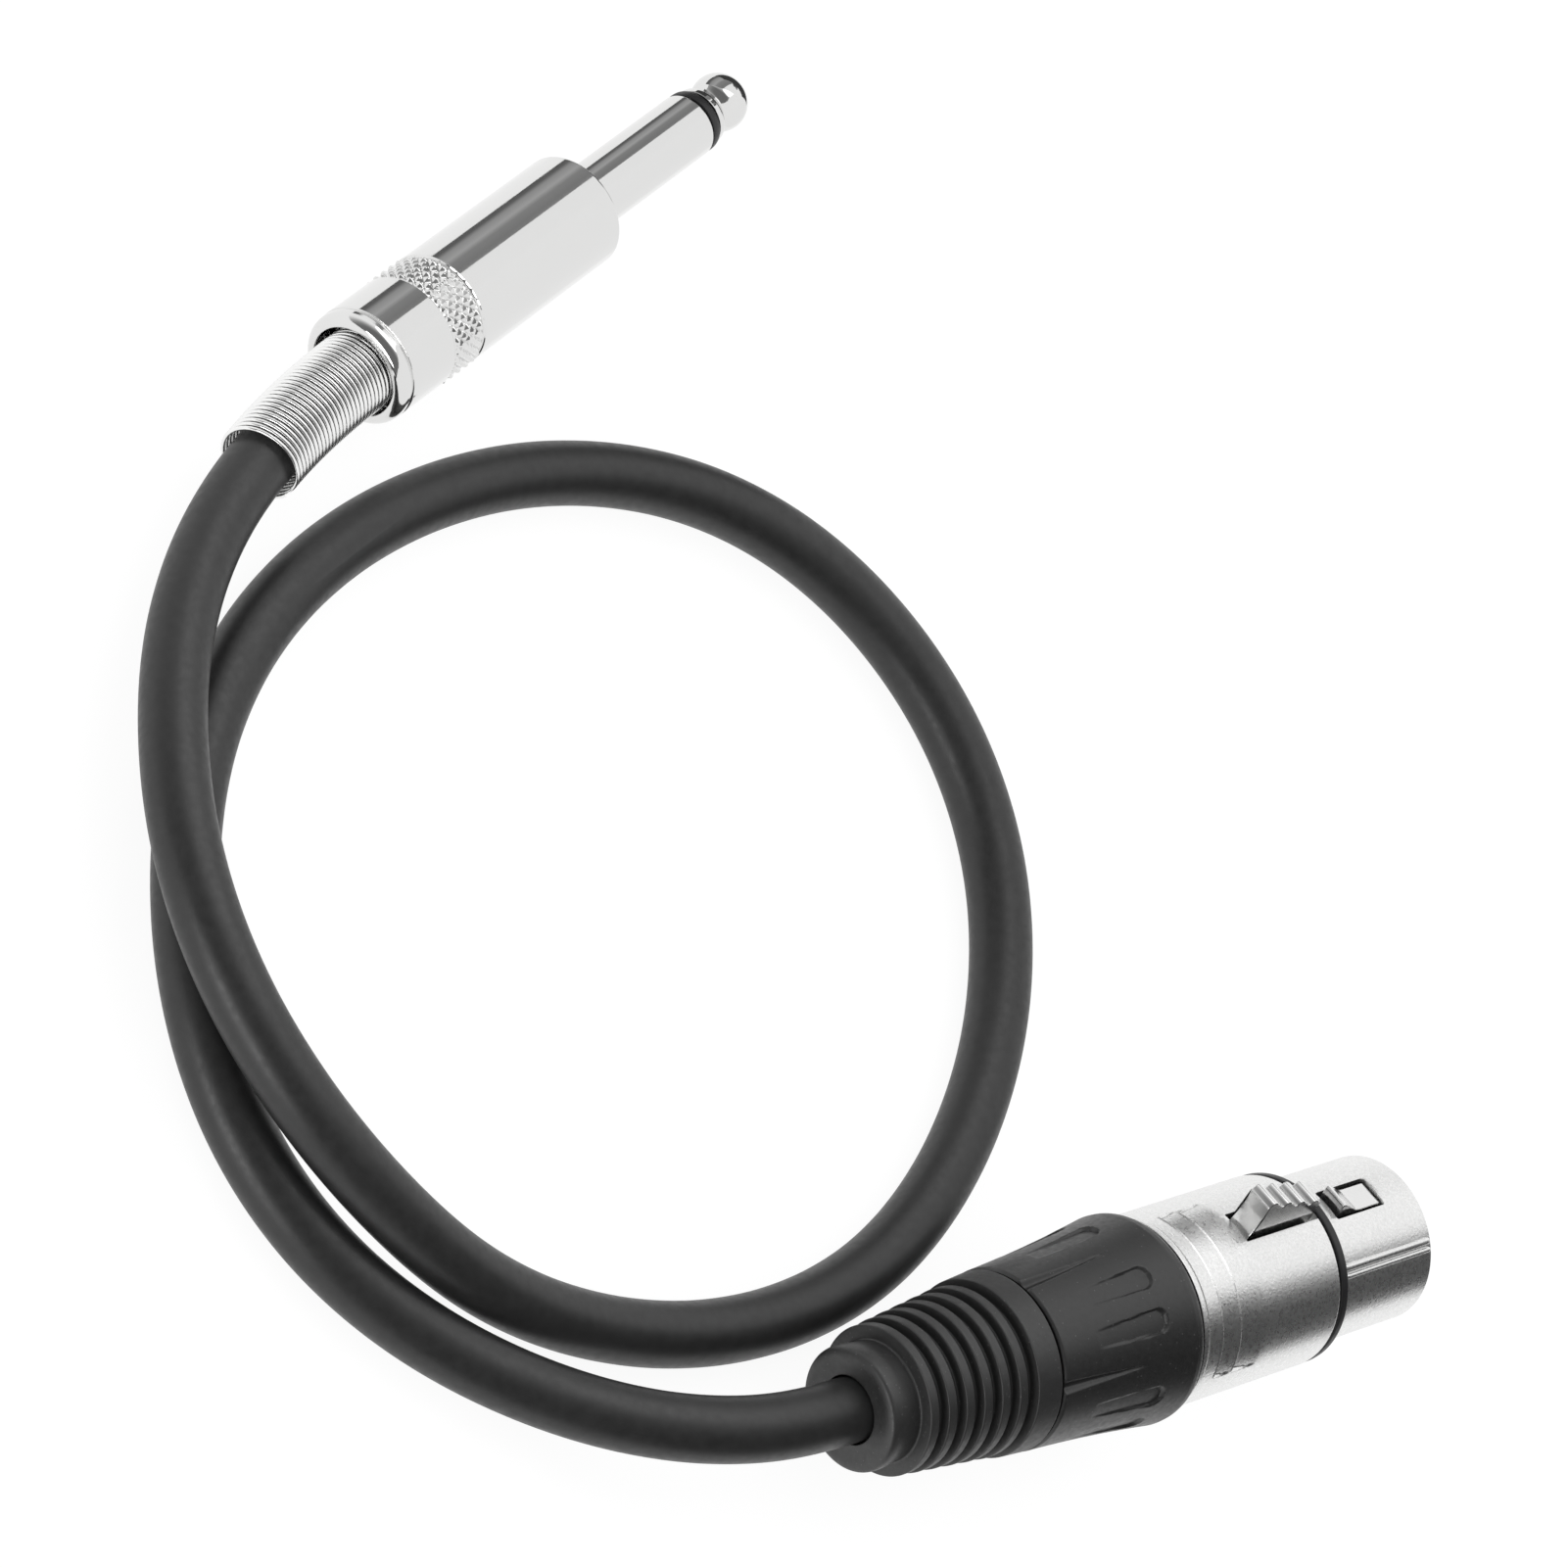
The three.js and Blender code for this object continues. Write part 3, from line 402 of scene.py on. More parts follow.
def finish(piece, slot, body, *nodes, look=None):
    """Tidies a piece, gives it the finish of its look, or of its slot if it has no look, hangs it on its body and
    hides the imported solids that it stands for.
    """
    tidy_mesh(piece)
    piece.data.materials.clear()
    piece.data.materials.append(finish_for(look or slot))
    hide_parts(*nodes)
    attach(piece, body)


# ---------------- the cable's line


def route_points(per_span):
    """Points on the cable's centre line, and how far along it each one is.

    Each span is the uniform cubic B-spline of four control points, and the two ends are mirrored so
    that the line starts and ends on its first and last control point.
    """
    control = np.array(ROUTE)
    control = np.vstack([2 * control[0] - control[1], control, 2 * control[-1] - control[-2]])
    u = np.linspace(0, 1, per_span, endpoint=False)[:, None]
    weights = [(1 - u) ** 3, 3 * u**3 - 6 * u**2 + 4, 3 * u + 3 * u**2 - 3 * u**3 + 1, u**3]
    spans = len(control) - 3
    points = sum(weight[None] * control[k:k + spans][:, None] for k, weight in enumerate(weights)) / 6
    points = np.vstack([points.reshape(-1, 3), ROUTE[-1]]) + TABLE_ORIGIN
    along = np.concatenate([[0], np.cumsum(np.linalg.norm(np.diff(points, axis=0), axis=1))])
    return points, along


def frames_along(distances):
    """Centre, side and up at distances along the cable, with the side kept level."""
    points, along = route_points(64)
    centre = np.stack([np.interp(distances, along, points[:, k]) for k in range(3)], axis=-1)
    slope = np.gradient(points, along, axis=0)
    forward = np.stack([np.interp(distances, along, slope[:, k]) for k in range(3)], axis=-1)
    forward /= np.linalg.norm(forward, axis=1)[:, None]
    side = np.cross(UP, forward)
    side /= np.linalg.norm(side, axis=1)[:, None]
    return centre, side, np.cross(forward, side)


# ---------------- materials


class Tree:
    """The nodes of a material or world, each made and joined in one call."""

    def __init__(self, owner):
        owner.use_nodes = True
        self.nodes, self.links = owner.node_tree.nodes, owner.node_tree.links

    def feed(self, node, inputs):
        """Sets each input to a value, or joins it to another node's output."""
        for name, value in inputs.items():
            if isinstance(value, bpy.types.NodeSocket):
                self.links.new(value, node.inputs[name])
            else:
                node.inputs[name].default_value = value

    def node(self, kind, inputs=None, **options):
        made = self.nodes.new("ShaderNode" + kind)
        for name, value in options.items():
            setattr(made, name, value)
        self.feed(made, inputs or {})
        return made

    def maths(self, operation, first, second):
        return self.node("Math", {0: first, 1: second}, operation=operation).outputs[0]

    def spread(self, value, low, high, between=(0.0, 1.0), **options):
        """A value between two numbers, spread from low to high."""
        ends = {"From Min": between[0], "From Max": between[1], "To Min": low, "To Max": high}
        return self.node("MapRange", {"Value": value, **ends}, **options).outputs["Result"]

    def mix(self, share_of_second, first, second):
        inputs = {"Fac": share_of_second, 1: first.outputs[0], 2: second.outputs[0]}
        return self.node("MixShader", inputs).outputs["Shader"]


class Finish(Tree):
    """A material whose patterns, so many to a metre, feed its Principled shader."""

    MOST_NOISE = (0.3, 0.7)

    def __init__(self, name, tint, roughness, metallic=0.0, specular=0.5):
        self.material = bpy.data.materials.new(name)
        super().__init__(self.material)
        self.tint = tuple(tint)
        self.shader = self.nodes["Principled BSDF"]
        self.feed(self.shader, {
            "Base Color": (*tint, 1.0), "Roughness": roughness, "Metallic": metallic,
            "Specular IOR Level": specular})
        self.place = self.node("TexCoord").outputs["Object"]

    def noise(self, per_metre, detail):
        inputs = {"Vector": self.place, "Scale": per_metre, "Detail": detail}
        return self.node("TexNoise", inputs).outputs["Fac"]

    def cells(self, per_metre):
        return self.node("TexVoronoi", {"Vector": self.place, "Scale": per_metre}).outputs["Distance"]

    def roughen(self, per_metre, detail, low, high):
        pattern = self.spread(self.noise(per_metre, detail), low, high, self.MOST_NOISE)
        self.feed(self.shader, {"Roughness": pattern})

    def tint_by(self, value, low, high, between=MOST_NOISE):
        """Runs from the tint times low to the tint times high, as a pattern's value rises."""
        ramp = self.node("ValToRGB", {"Fac": self.spread(value, 0.0, 1.0, between)})
        for element, factor in zip(ramp.color_ramp.elements, (low, high)):
            element.color = (*(min(1.0, part * factor) for part in self.tint), 1.0)
        self.feed(self.shader, {"Base Color": ramp.outputs["Color"]})

    def bump(self, *layers):
        """Bumps one on another, each by a noise's scale and detail, a depth in millimetres and a strength."""
        normal = {}
        for per_metre, detail, depth, strength in layers:
            inputs = {"Height": self.noise(per_metre, detail), "Distance": depth * MM, "Strength": strength}
            normal = {"Normal": self.node("Bump", {**inputs, **normal}).outputs["Normal"]}
        self.feed(self.shader, normal)


def satin_nickel():
    """Nickel over a blasted casting: a fine grain that sparkles."""
    chosen = settings("connector")
    made = Finish("satin nickel", chosen.satin, 0.3, metallic=1.0)
    made.tint_by(made.noise(4200, 1.0), 0.93, 1.06)
    made.roughen(2600, 2.0, 0.25, 0.34)
    made.bump((3900, 1.0, 0.03, chosen.grain), (1500, 2.0, 0.03, 0.06))
    return made.material


def bright_nickel():
    """Polished nickel with the faint waves and smudges that handling leaves."""
    made = Finish("bright nickel", settings("plug").bright, 0.1, metallic=1.0)
    made.roughen(420, 3.0, 0.05, 0.1)
    made.bump((260, 2.0, 0.05, 0.05), (3000, 2.0, 0.01, 0.08))
    return made.material


def stamped_nickel():
    """Stamped strip, plated and lightly tumbled: softer than the polished parts."""
    made = Finish("stamped nickel", (0.8, 0.8, 0.795), 0.17, metallic=1.0)
    made.roughen(1500, 3.0, 0.13, 0.22)
    made.bump((2800, 2.0, 0.015, 0.2))
    return made.material


def spring_metal():
    """Drawn spring wire, plated bright."""
    made = Finish("spring wire", (0.9, 0.9, 0.895), 0.17, metallic=1.0)
    made.roughen(900, 2.0, 0.15, 0.2)
    made.bump((900, 1.0, 0.01, 0.06))
    return made.material


def jacket_vinyl():
    """Soft matt vinyl with a faint bloom."""
    chosen = settings("cable")
    made = Finish("jacket vinyl", chosen.tint, chosen.shine, specular=0.56)
    made.tint_by(made.noise(900, 3.0), 0.85, 1.2)
    made.roughen(1400, 2.0, chosen.shine - 0.04, chosen.shine + 0.06)
    made.bump((3600, 2.0, 0.012, 0.22), (300, 1.0, 0.05, 0.08))
    return made.material


def boot_rubber():
    """Moulded rubber with a fine grain and pale specks of dust."""
    made = Finish("boot rubber", settings("connector").boot_tint, 0.48, specular=0.75)
    made.tint_by(made.cells(1700), 6.0, 1.0, (0.03, 0.13))
    made.roughen(1800, 2.0, 0.42, 0.54)
    made.bump((3000, 2.0, 0.02, 0.5), (700, 2.0, 0.03, 0.12))
    return made.material


def nut_plastic():
    """Moulded nylon with a fine satin texture and pale specks of dust."""
    made = Finish("nut plastic", settings("connector").nut_tint, 0.42, specular=0.7)
    made.tint_by(made.cells(1500), 8.0, 1.0, (0.03, 0.12))
    made.roughen(2000, 2.0, 0.36, 0.48)
    made.bump((3400, 2.0, 0.016, 0.5), (800, 2.0, 0.03, 0.1))
    return made.material


def plain_plastic(name, tint, roughness=0.42):
    """Smooth moulded plastic with a little unevenness."""
    made = Finish(name, tint, roughness)
    made.tint_by(made.noise(800, 3.0), 0.88, 1.12)
    made.roughen(1500, 2.0, roughness - 0.05, roughness + 0.08)
    made.bump((2600, 2.0, 0.01, 0.2))
    return made.material


def plain_metal(name, tint, roughness):
    """Stamped or turned metal, a little dulled."""
    made = Finish(name, tint, roughness, metallic=1.0)
    made.tint_by(made.noise(700, 3.0), 0.85, 1.08)
    made.roughen(1600, 3.0, roughness - 0.06, roughness + 0.1)
    made.bump((3000, 2.0, 0.01, 0.2))
    return made.material


LOOKS = {
    "satin_nickel": satin_nickel,
    "bright_nickel": bright_nickel,
    "stamped_nickel": stamped_nickel,
    "spring_steel": spring_metal,
    "jacket": jacket_vinyl,
    "boot_rubber": boot_rubber,
    "nut_plastic": nut_plastic,
    "black_plastic": lambda: plain_plastic("black plastic", (0.012, 0.012, 0.013)),
    "liner_plastic": lambda: plain_plastic("liner plastic", (0.72, 0.68, 0.58), 0.5),
    "red_insulation": lambda: plain_plastic("red insulation", (0.42, 0.03, 0.025)),
    "white_insulation": lambda: plain_plastic("white insulation", (0.7, 0.68, 0.62)),
    "contact_brass": lambda: plain_metal("contact brass", (0.83, 0.66, 0.34), 0.28),
    "tinned_steel": lambda: plain_metal("tinned steel", (0.6, 0.59, 0.57), 0.4),
    "copper": lambda: plain_metal("copper braid", (0.75, 0.4, 0.26), 0.42),
}


@functools.cache
def finish_for(look):
    """The material of a look, made the first time that a piece asks for it."""
    return LOOKS[look]()


# ---------------- operators


class CABLE_OT_studio(bpy.types.Operator):
    """Set up the camera, the pale floor, the light and the cards that the metal mirrors"""

    bl_idname = "looped_cable.studio"
    bl_label = "Studio"

    def execute(self, context):
        chosen = settings("studio")
        self.aim_camera(context, chosen)
        self.lay_floor()
        self.light_world(context)
        self.hang_lamps()
        self.stand_cards()
        context.scene.view_settings.view_transform = "Standard"
        return {"FINISHED"}

    def aim_camera(self, context, chosen):
        """Looks along the heading and down, then turns about the line of sight by the roll."""
        flat = math.cos(chosen.elevation)
        forward = Vector((
            flat * math.cos(chosen.heading), flat * math.sin(chosen.heading), -math.sin(chosen.elevation)))
        right = forward.cross(Vector(UP)).normalized()
        up = right.cross(forward)
        across = right * math.cos(chosen.roll) + up * math.sin(chosen.roll)
        upward = up * math.cos(chosen.roll) - right * math.sin(chosen.roll)
        target = Vector(TABLE_ORIGIN) - Vector((chosen.target_x, chosen.target_y, 0))
        lens = bpy.data.cameras.new("camera")
        lens.sensor_width = 36.0
        lens.lens = chosen.lens
        lens.clip_start = 0.01
        camera = bpy.data.objects.new("camera", lens)
        turn = Matrix((across, upward, -forward)).transposed()
        camera.matrix_world = Matrix.Translation(target - forward * chosen.distance) @ turn.to_4x4()
        context.scene.collection.objects.link(camera)
        context.scene.camera = camera

    def background_share(self, tree):
        """1 for rays from the camera, from a gloss or through glass, and 0 for rays that light things."""
        path = tree.node("LightPath").outputs
        seen = tree.maths("MAXIMUM", path["Is Camera Ray"], path["Is Glossy Ray"])
        return tree.maths("MAXIMUM", seen, path["Is Transmission Ray"])

    def lay_floor(self):
        """A wide pale floor that adds its own white for the camera and for reflections."""
        half = 3.0
        corners = np.array([[-half, -half, 0], [half, -half, 0], [half, half, 0], [-half, half, 0]])
        floor = make_object("floor", corners, [[0, 1, 2, 3]])
        material = bpy.data.materials.new("floor")
        tree = Tree(material)
        glow = tree.maths("MULTIPLY", self.background_share(tree), 0.92)
        tree.feed(tree.nodes["Principled BSDF"], {
            "Base Color": (0.12, 0.12, 0.12, 1), "Roughness": 1.0, "Specular IOR Level": 0.0,
            "Emission Color": WHITE, "Emission Strength": glow})
        floor.data.materials.append(material)

    def light_world(self, context):
        """White all round, except that a gloss finds a dim room behind the camera.

        A gloss ray sees 1 - 0.84 * (a smooth step of the direction's dot product with the room's side).
        """
        world = bpy.data.worlds.new("world")
        tree = Tree(world)
        background = tree.nodes["Background"]
        strength = tree.spread(self.background_share(tree), 0.76, 1.0)
        tree.feed(background, {"Color": WHITE, "Strength": strength})
        room_side = Vector((0.35, -0.85, 0.4)).normalized()
        direction = tree.node("TexCoord").outputs["Generated"]
        facing = tree.node("VectorMath", {0: direction, 1: room_side}, operation="DOT_PRODUCT")
        dim = tree.spread(facing.outputs["Value"], 1.0, 0.16, (-0.2, 0.75), interpolation_type="SMOOTHSTEP")
        room = tree.node("Background", {"Color": WHITE, "Strength": dim})
        is_gloss = tree.node("LightPath").outputs["Is Glossy Ray"]
        tree.feed(tree.nodes["World Output"], {"Surface": tree.mix(is_gloss, background, room)})
        context.scene.world = world

    def hang_lamps(self):
        """A broad soft lamp overhead, and a low one behind the loop."""
        lamps = (
            ("overhead lamp", (-0.45, 0.35, 1.1), (1.27, 1.27), 4.1),
            ("low lamp", (0.21, -0.92, 0.15), (0.8, 0.28), 3.0),
        )
        for name, place, (across, high), watts in lamps:
            light = bpy.data.lights.new(name, "AREA")
            light.shape = "ELLIPSE"
            light.size, light.size_y = across, high
            light.energy = watts
            lamp = bpy.data.objects.new(name, light)
            lamp.location = place
            lamp.rotation_euler = (-Vector(place)).to_track_quat("-Z", "Y").to_euler()
            bpy.context.scene.collection.objects.link(lamp)

    def stand_cards(self):
        """Cards that only reflections see, each from the side that faces its connector.

        Each runs from one (across, ahead) place to another at its foot and at its top, in millimetres.
        """
        dark = ((0.0, 0.05), (1.0, 0.05))
        cards = (
            ("grey card by the plug", PLUG, ((-55, 3), (-55, 120)), ((-55, 31), (-55, 160)), (0, 94),
             ((0.0, 0.1), (0.1, 0.14), (0.18, 0.32), (0.34, 0.42), (0.46, 0.26), (0.75, 0.22), (1.0, 0.24))),
            ("white card by the plug", PLUG, ((13, -60), (13, 45)), ((13, 60), (13, 215)), (0, 190),
             ((0.0, 0.98), (1.0, 0.98))),
            ("pale card over the plug", PLUG, ((-55, 31), (-55, 160)), ((13, 100), (13, 215)), (94, 190),
             ((0.0, 0.97), (1.0, 0.97))),
            ("dark card ahead of the plug", PLUG, ((-32, 50), (30, 50)), ((-32, 54), (30, 54)),
             (2, 24), dark),
            ("dark card by the connector", CONNECTOR, ((75, -120), (75, 320)), ((75, -120), (75, 320)),
             (0, 340), ((0.0, 0.05), (0.3, 0.05), (1.0, 1.0))),
            ("pale card over the connector", CONNECTOR, ((-170, 60), (-170, 330)), ((28, 10), (28, 290)),
             (198, 202), ((0.0, 1.0), (1.0, 1.0))),
            ("dark card above it", CONNECTOR, ((74, -30), (74, 40)), ((74, 50), (74, 195)), (100, 360), dark),
            ("dark strip across the loop", CONNECTOR, ((-200, 40), (-200, 111)), ((-200, 110), (-200, 209)),
             (0, 258), ((0.0, 0.08), (0.7, 0.1), (1.0, 1.0))),
        )
        for name, seat, foot, top, (low, high), levels in cards:
            corners = np.array([(*foot[0], low), (*foot[1], low), (*top[1], high), (*top[0], high)]) * MM
            placed = seat.place(corners)
            placed[:, 2] = corners[:, 2]
            outward = np.cross(placed[1] - placed[0], placed[3] - placed[0])
            if outward @ (seat.front - placed.mean(axis=0)) < 0:
                placed = placed[::-1]
            card = make_object(name, placed, [[0, 1, 2, 3]])
            card.data.materials.append(self.card_material(name, high * MM, levels))
            for kind in ("camera", "diffuse", "shadow", "transmission", "volume_scatter"):
                setattr(card, "visible_" + kind, False)

    def card_material(self, name, height, levels):
        """Glows on its front at levels set from its foot to its top, and lets light through from behind."""
        material = bpy.data.materials.new(name)
        tree = Tree(material)
        tree.nodes.remove(tree.nodes["Principled BSDF"])
        above = tree.node("SeparateXYZ", {"Vector": tree.node("TexCoord").outputs["Object"]}).outputs["Z"]
        ramp = tree.node("ValToRGB", {"Fac": tree.maths("DIVIDE", above, height)})
        elements = ramp.color_ramp.elements
        for element, level in zip(elements, (levels[0][1], levels[-1][1])):
            element.color = (level, level, level, 1)
        for position, level in levels[1:-1]:
            elements.new(position).color = (level, level, level, 1)
        glow = tree.node("Emission", {"Color": ramp.outputs["Color"]})
        from_behind = tree.node("NewGeometry").outputs["Backfacing"]
        surface = tree.mix(from_behind, glow, tree.node("BsdfTransparent"))
        tree.feed(tree.nodes["Material Output"], {"Surface": surface})
        return material


class CABLE_OT_jacket(bpy.types.Operator):
    """Lay the cable along its route"""

    bl_idname = "looped_cable.jacket"
    bl_label = "Cable"

    def execute(self, context):
        """The surface is centre(d) + R (side cos a + up sin a), with d along the cable and a round it."""
        chosen = settings("cable")
        line, along = route_points(16)
        total = along[-1]
        distances = np.linspace(0, total, 620)
        centre, side, up = frames_along(distances)
        ends = np.minimum(distances, total - distances) / (0.4 * MM)
        radius = (chosen.diameter / 2 * (1 - 0.08 * np.clip(1 - ends, 0, 1) ** 2))[:, None]
        jacket = tube_object("jacket", centre, radius * side, radius * up, chosen.sides)
        finish(jacket, "jacket", "cable", "cable_jacket")
        handle_end = PLUG.place(np.array([0, -HANDLE_LENGTH * MM, 0]))
        return {"FINISHED"}


class CABLE_OT_shell(bpy.types.Operator):
    """Make the large connector's shell, with its latch openings and guide rails, and its black ring"""

    bl_idname = "looped_cable.shell"
    bl_label = "Shell and ring"

    def execute(self, context):
        chosen = settings("connector")
        nose, body = chosen.nose / 2 / MM, chosen.body / 2 / MM
        bore, rear_bore, thread = nose - 0.9, 7.6, 8.2
        shoulder, seat_front, thread_rear = 14.2, 33.1, 43.6
        front = [(nose, 0.0, 0.25), *((nose, behind, 0.0) for behind in np.linspace(0.6, 13.8, 18)),
                 (nose, shoulder, 0.05), (body, shoulder, 0.22), (body, shoulder + 0.5, 0.0)]
        rear = [
            (body, 31.3, 0.0), (body, 32.05, 0.02), (body - 0.22, 32.12, 0.02), (body - 0.22, 32.4, 0.02),
            (body + 0.3, 32.45, 0.16), (body + 0.3, seat_front, 0.1), (thread, seat_front, 0.05),
            (thread, thread_rear, 0.3), (rear_bore, thread_rear, 0.2), (rear_bore, 26.6, 0.2),
            (bore, 26.0, 0.2), (bore, 0.0, 0.2), (nose, 0.0, 0.25)]
        turn = self.scoop_angles()
        before, after = rounded(front, closed=False), rounded(rear, closed=False)[:-1]
        points = np.concatenate([
            round_the_axis(before, turn), self.scooped(body, turn), round_the_axis(after, turn)])
        shell = sheet_object("shell", CONNECTOR.place(points))
        tidy_mesh(shell)
        half, slot_rear = 1.75, 24.05
        cut(shell, [
            latch_cutter((4.1, 10.8), (5.0, 12.0), half, 0.35),
            latch_cutter((shoulder + 0.02, slot_rear), (nose + 0.01, 12.0), half, 0.15),
            latch_cutter((shoulder + 0.6, slot_rear), (5.0, nose + 0.5), half, 0.15)])
        tidy_mesh(shell)
        soften_edges(shell, 0.07)
        finish(shell, "satin_nickel", "cable", "xlr_shell")
        self.add_rails(chosen.key_angle, nose)
        inside, outside, ring_front, ring_rear = nose + 0.3, body - 0.05, 12.95, 13.9
        ring = [(inside, ring_front, 0.1), (outside, ring_front, 0.25), (outside, ring_rear, 0.25),
                (inside, ring_rear, 0.1)]
        finish(turned("ring", CONNECTOR, ring, segments=200), "black_plastic", "cable", "xlr_ring")
        return {"FINISHED"}

    def scoop_angles(self):
        """Angles round the shell, close together where the scoops end."""
        even = np.radians(np.arange(0, 360, 1.5))
        ends = np.radians([57.0, 57.4, 57.8, 302.2, 302.6, 303.0])
        return np.sort(np.concatenate([even, ends]))

    def scooped(self, body, turn):
        """Two shallow scoops over the top, closed by a smooth step 57 degrees to each side.

        The radius falls straight from a scoop's front to its depth at its rear, where a wall steps it up to
        a fine bead.
        """
        steps = np.array([0.02, 0.07, 0.13, 0.19, 0.25, 0.3])
        behind = np.concatenate([
            np.linspace(14.9, 24.5, 14), np.linspace(24.7, 27.78, 14), 27.8 + steps,
            np.linspace(28.16, 30.22, 10), 30.24 + steps, np.linspace(30.6, 31.3, 4)])
        fall = np.zeros_like(behind)
        for front, rear, depth in ((24.6, 27.8, 0.34), (28.08, 30.24, 0.3)):
            bead = rear + np.array([0.0, 0.07, 0.13, 0.19, 0.26])
            fall += np.interp(behind, [front, *bead], [0.0, depth, -0.04, -0.06, -0.04, 0.0])
        off_top = np.abs((turn + math.pi) % FULL_TURN - math.pi)
        window = 1 - bump_up(off_top, math.radians(57.0), math.radians(57.8))
        return wrapped((body - fall[:, None] * window) * MM, behind[:, None] * MM, turn)

    def add_rails(self, key_angle, nose):
        """A broad and a narrow raised rail with a groove between them, from the ring to the nose's front."""
        foot, top = nose - 0.3, nose + 0.36
        corners = [(foot, 0.25, 0.0), (top, 0.25, 0.35), (top, 12.1, 0.25), (foot, 12.6, 0.0)]
        for number, (across, width) in enumerate(((-0.37, 0.7), (0.46, 0.5)), 1):
            rail = slab(f"rail_{number}", corners, width, 0.42 * width, key_angle, across)
            finish(rail, "satin_nickel", "cable", "xlr_shell")


class CABLE_OT_insert(bpy.types.Operator):
    """Make the contact carrier and its three socket contacts"""

    bl_idname = "looped_cable.insert"
    bl_label = "Insert and contacts"

    def execute(self, context):
        chosen = settings("connector")
        radius = chosen.nose / 2 / MM - 1.2
        corners = [(0, 0.5, 0), (radius, 0.5, 0.3), (radius, 24.1, 0.2), (0, 24.1, 0)]
        insert = turned("insert", CONNECTOR, corners, segments=128, closed=False)
        tidy_mesh(insert)
        cutters = [
            latch_cutter((6.5, 26.0), (3.4, 12.0), 1.55, 0.1),
            latch_cutter((4.1, 6.6), (5.2, 12.0), 1.55, 0.1),
            latch_cutter((4.2, 5.6), (5.4, 12.0), 2.25, 0.1),
        ]
        hole = [(0, -0.5, 0), (1.75, -0.5, 0), (1.75, 0.5, 0.1), (1.35, 0.95, 0.1), (1.35, 2.2, 0.02),
                (2.15, 2.2, 0.02), (2.15, 26.0, 0), (0, 26.0, 0)]
        seats = [self.contact_seat(chosen.latch_angle + math.radians(turn)) for turn in (60, -60, 180)]
        for seat in seats:
            cutter = turned("cutter", seat, hole, segments=48, closed=False)
            tidy_mesh(cutter)
            cutters.append(cutter)
        cut(insert, cutters)
        finish(insert, "black_plastic", "cable", "xlr_insert")
        outer = [(1.2, 2.0, 0.2), (1.85, 2.0, 0.25), (1.85, 17.0, 0.2), (1.45, 17.0, 0.1), (1.45, 26.7, 0.1)]
        inner = [(1.2, 15.0, 0), (0.01, 15.0, 0), (0.01, 22.7, 0), (1.1, 22.7, 0), (1.1, 26.7, 0.1)]
        for number, seat in enumerate(seats, 1):
            contact = turned(f"contact_{number}", seat, ring_corners(outer, inner), segments=48)
            finish(contact, "contact_brass", "cable", f"xlr_contact_{number}")
        return {"FINISHED"}

    def contact_seat(self, turn):
        """The seat of a contact, on the circle that the three stand on."""
        circle = 4.4
        centre = np.array([circle * math.sin(turn), 0, circle * math.cos(turn)]) * MM
        return Seat(CONNECTOR.place(centre), CONNECTOR.forward)


class CABLE_OT_latch(bpy.types.Operator):
    """Make the latch lever: hook, arm and ridged thumb pad"""

    bl_idname = "looped_cable.latch"
    bl_label = "Latch"

    def execute(self, context):
        chosen = settings("connector")
        nose = chosen.nose / 2 / MM
        front, rear, pitch, crest, fall, groove = 4.3, 23.75, 2.2, 13.2, 0.26, 0.5
        last = rear - 1.3
        corners = [
            (5.7, front, 0.2), (nose - 0.3, front, 0.25), (nose - 0.3, 7.7, 0.6), (nose + 1.1, 9.9, 0.25),
            (nose + 1.1, 10.3, 0.2), (6.4, 10.3, 0.3), (6.4, 14.8, 0.3),
            (crest - fall * (last - 14.8) - groove, 14.8, 0.25),
        ]
        for step in (3, 2, 1, 0):
            behind, top = last - step * pitch, crest - fall * step * pitch
            corners += [
                (top - groove, behind - 1.15, 0.25), (top, behind - 0.42, 0.25), (top, behind + 0.02, 0.2),
                (top - groove, behind + 0.42, 0.25)]
        corners += [
            (crest - 0.5, rear - 0.8, 0.2), (crest - 2.0, rear - 0.9, 0.9), (9.4, rear - 0.45, 0.9),
            (8.3, rear, 0.15), (7.0, 16.2, 0.3), (5.9, 15.7, 0.3),
            (5.9, 9.6, 0.3), (6.1, 8.4, 0.3), (5.7, 6.0, 0.3)]
        latch = slab("latch", corners, 2.7, 0.14, chosen.latch_angle)
        finish(latch, "bright_nickel", "latch", "xlr_latch", look="stamped_nickel")
        self.add_spring(chosen.latch_angle)
        return {"FINISHED"}

    def add_spring(self, latch_angle):
        """A bent leaf from the pocket's floor up to the lever, in the shape it has before the lever flattens it
        onto the floor.
        """
        foot, top, thick = 3.5, 7.35, 0.25
        corners = [
            (foot, 9.0, 0.05), (foot, 13.0, 0.6), (top - thick, 20.0, 0.5), (top - thick - 0.2, 21.2, 0.05),
            (top - 0.2, 21.2, 0.05), (top, 20.0, 0.5), (foot + thick, 12.9, 0.6), (foot + thick, 9.0, 0.05)]
        leaf = slab("latch_spring", corners, 1.8, 0.06, latch_angle)
        finish(leaf, "spring_steel", "cable", "xlr_latch_spring")
        floor = turn_about_axis(np.array([0, -15 * MM, foot * MM]), latch_angle)
        tuple(CONNECTOR.place(floor))
        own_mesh(leaf)


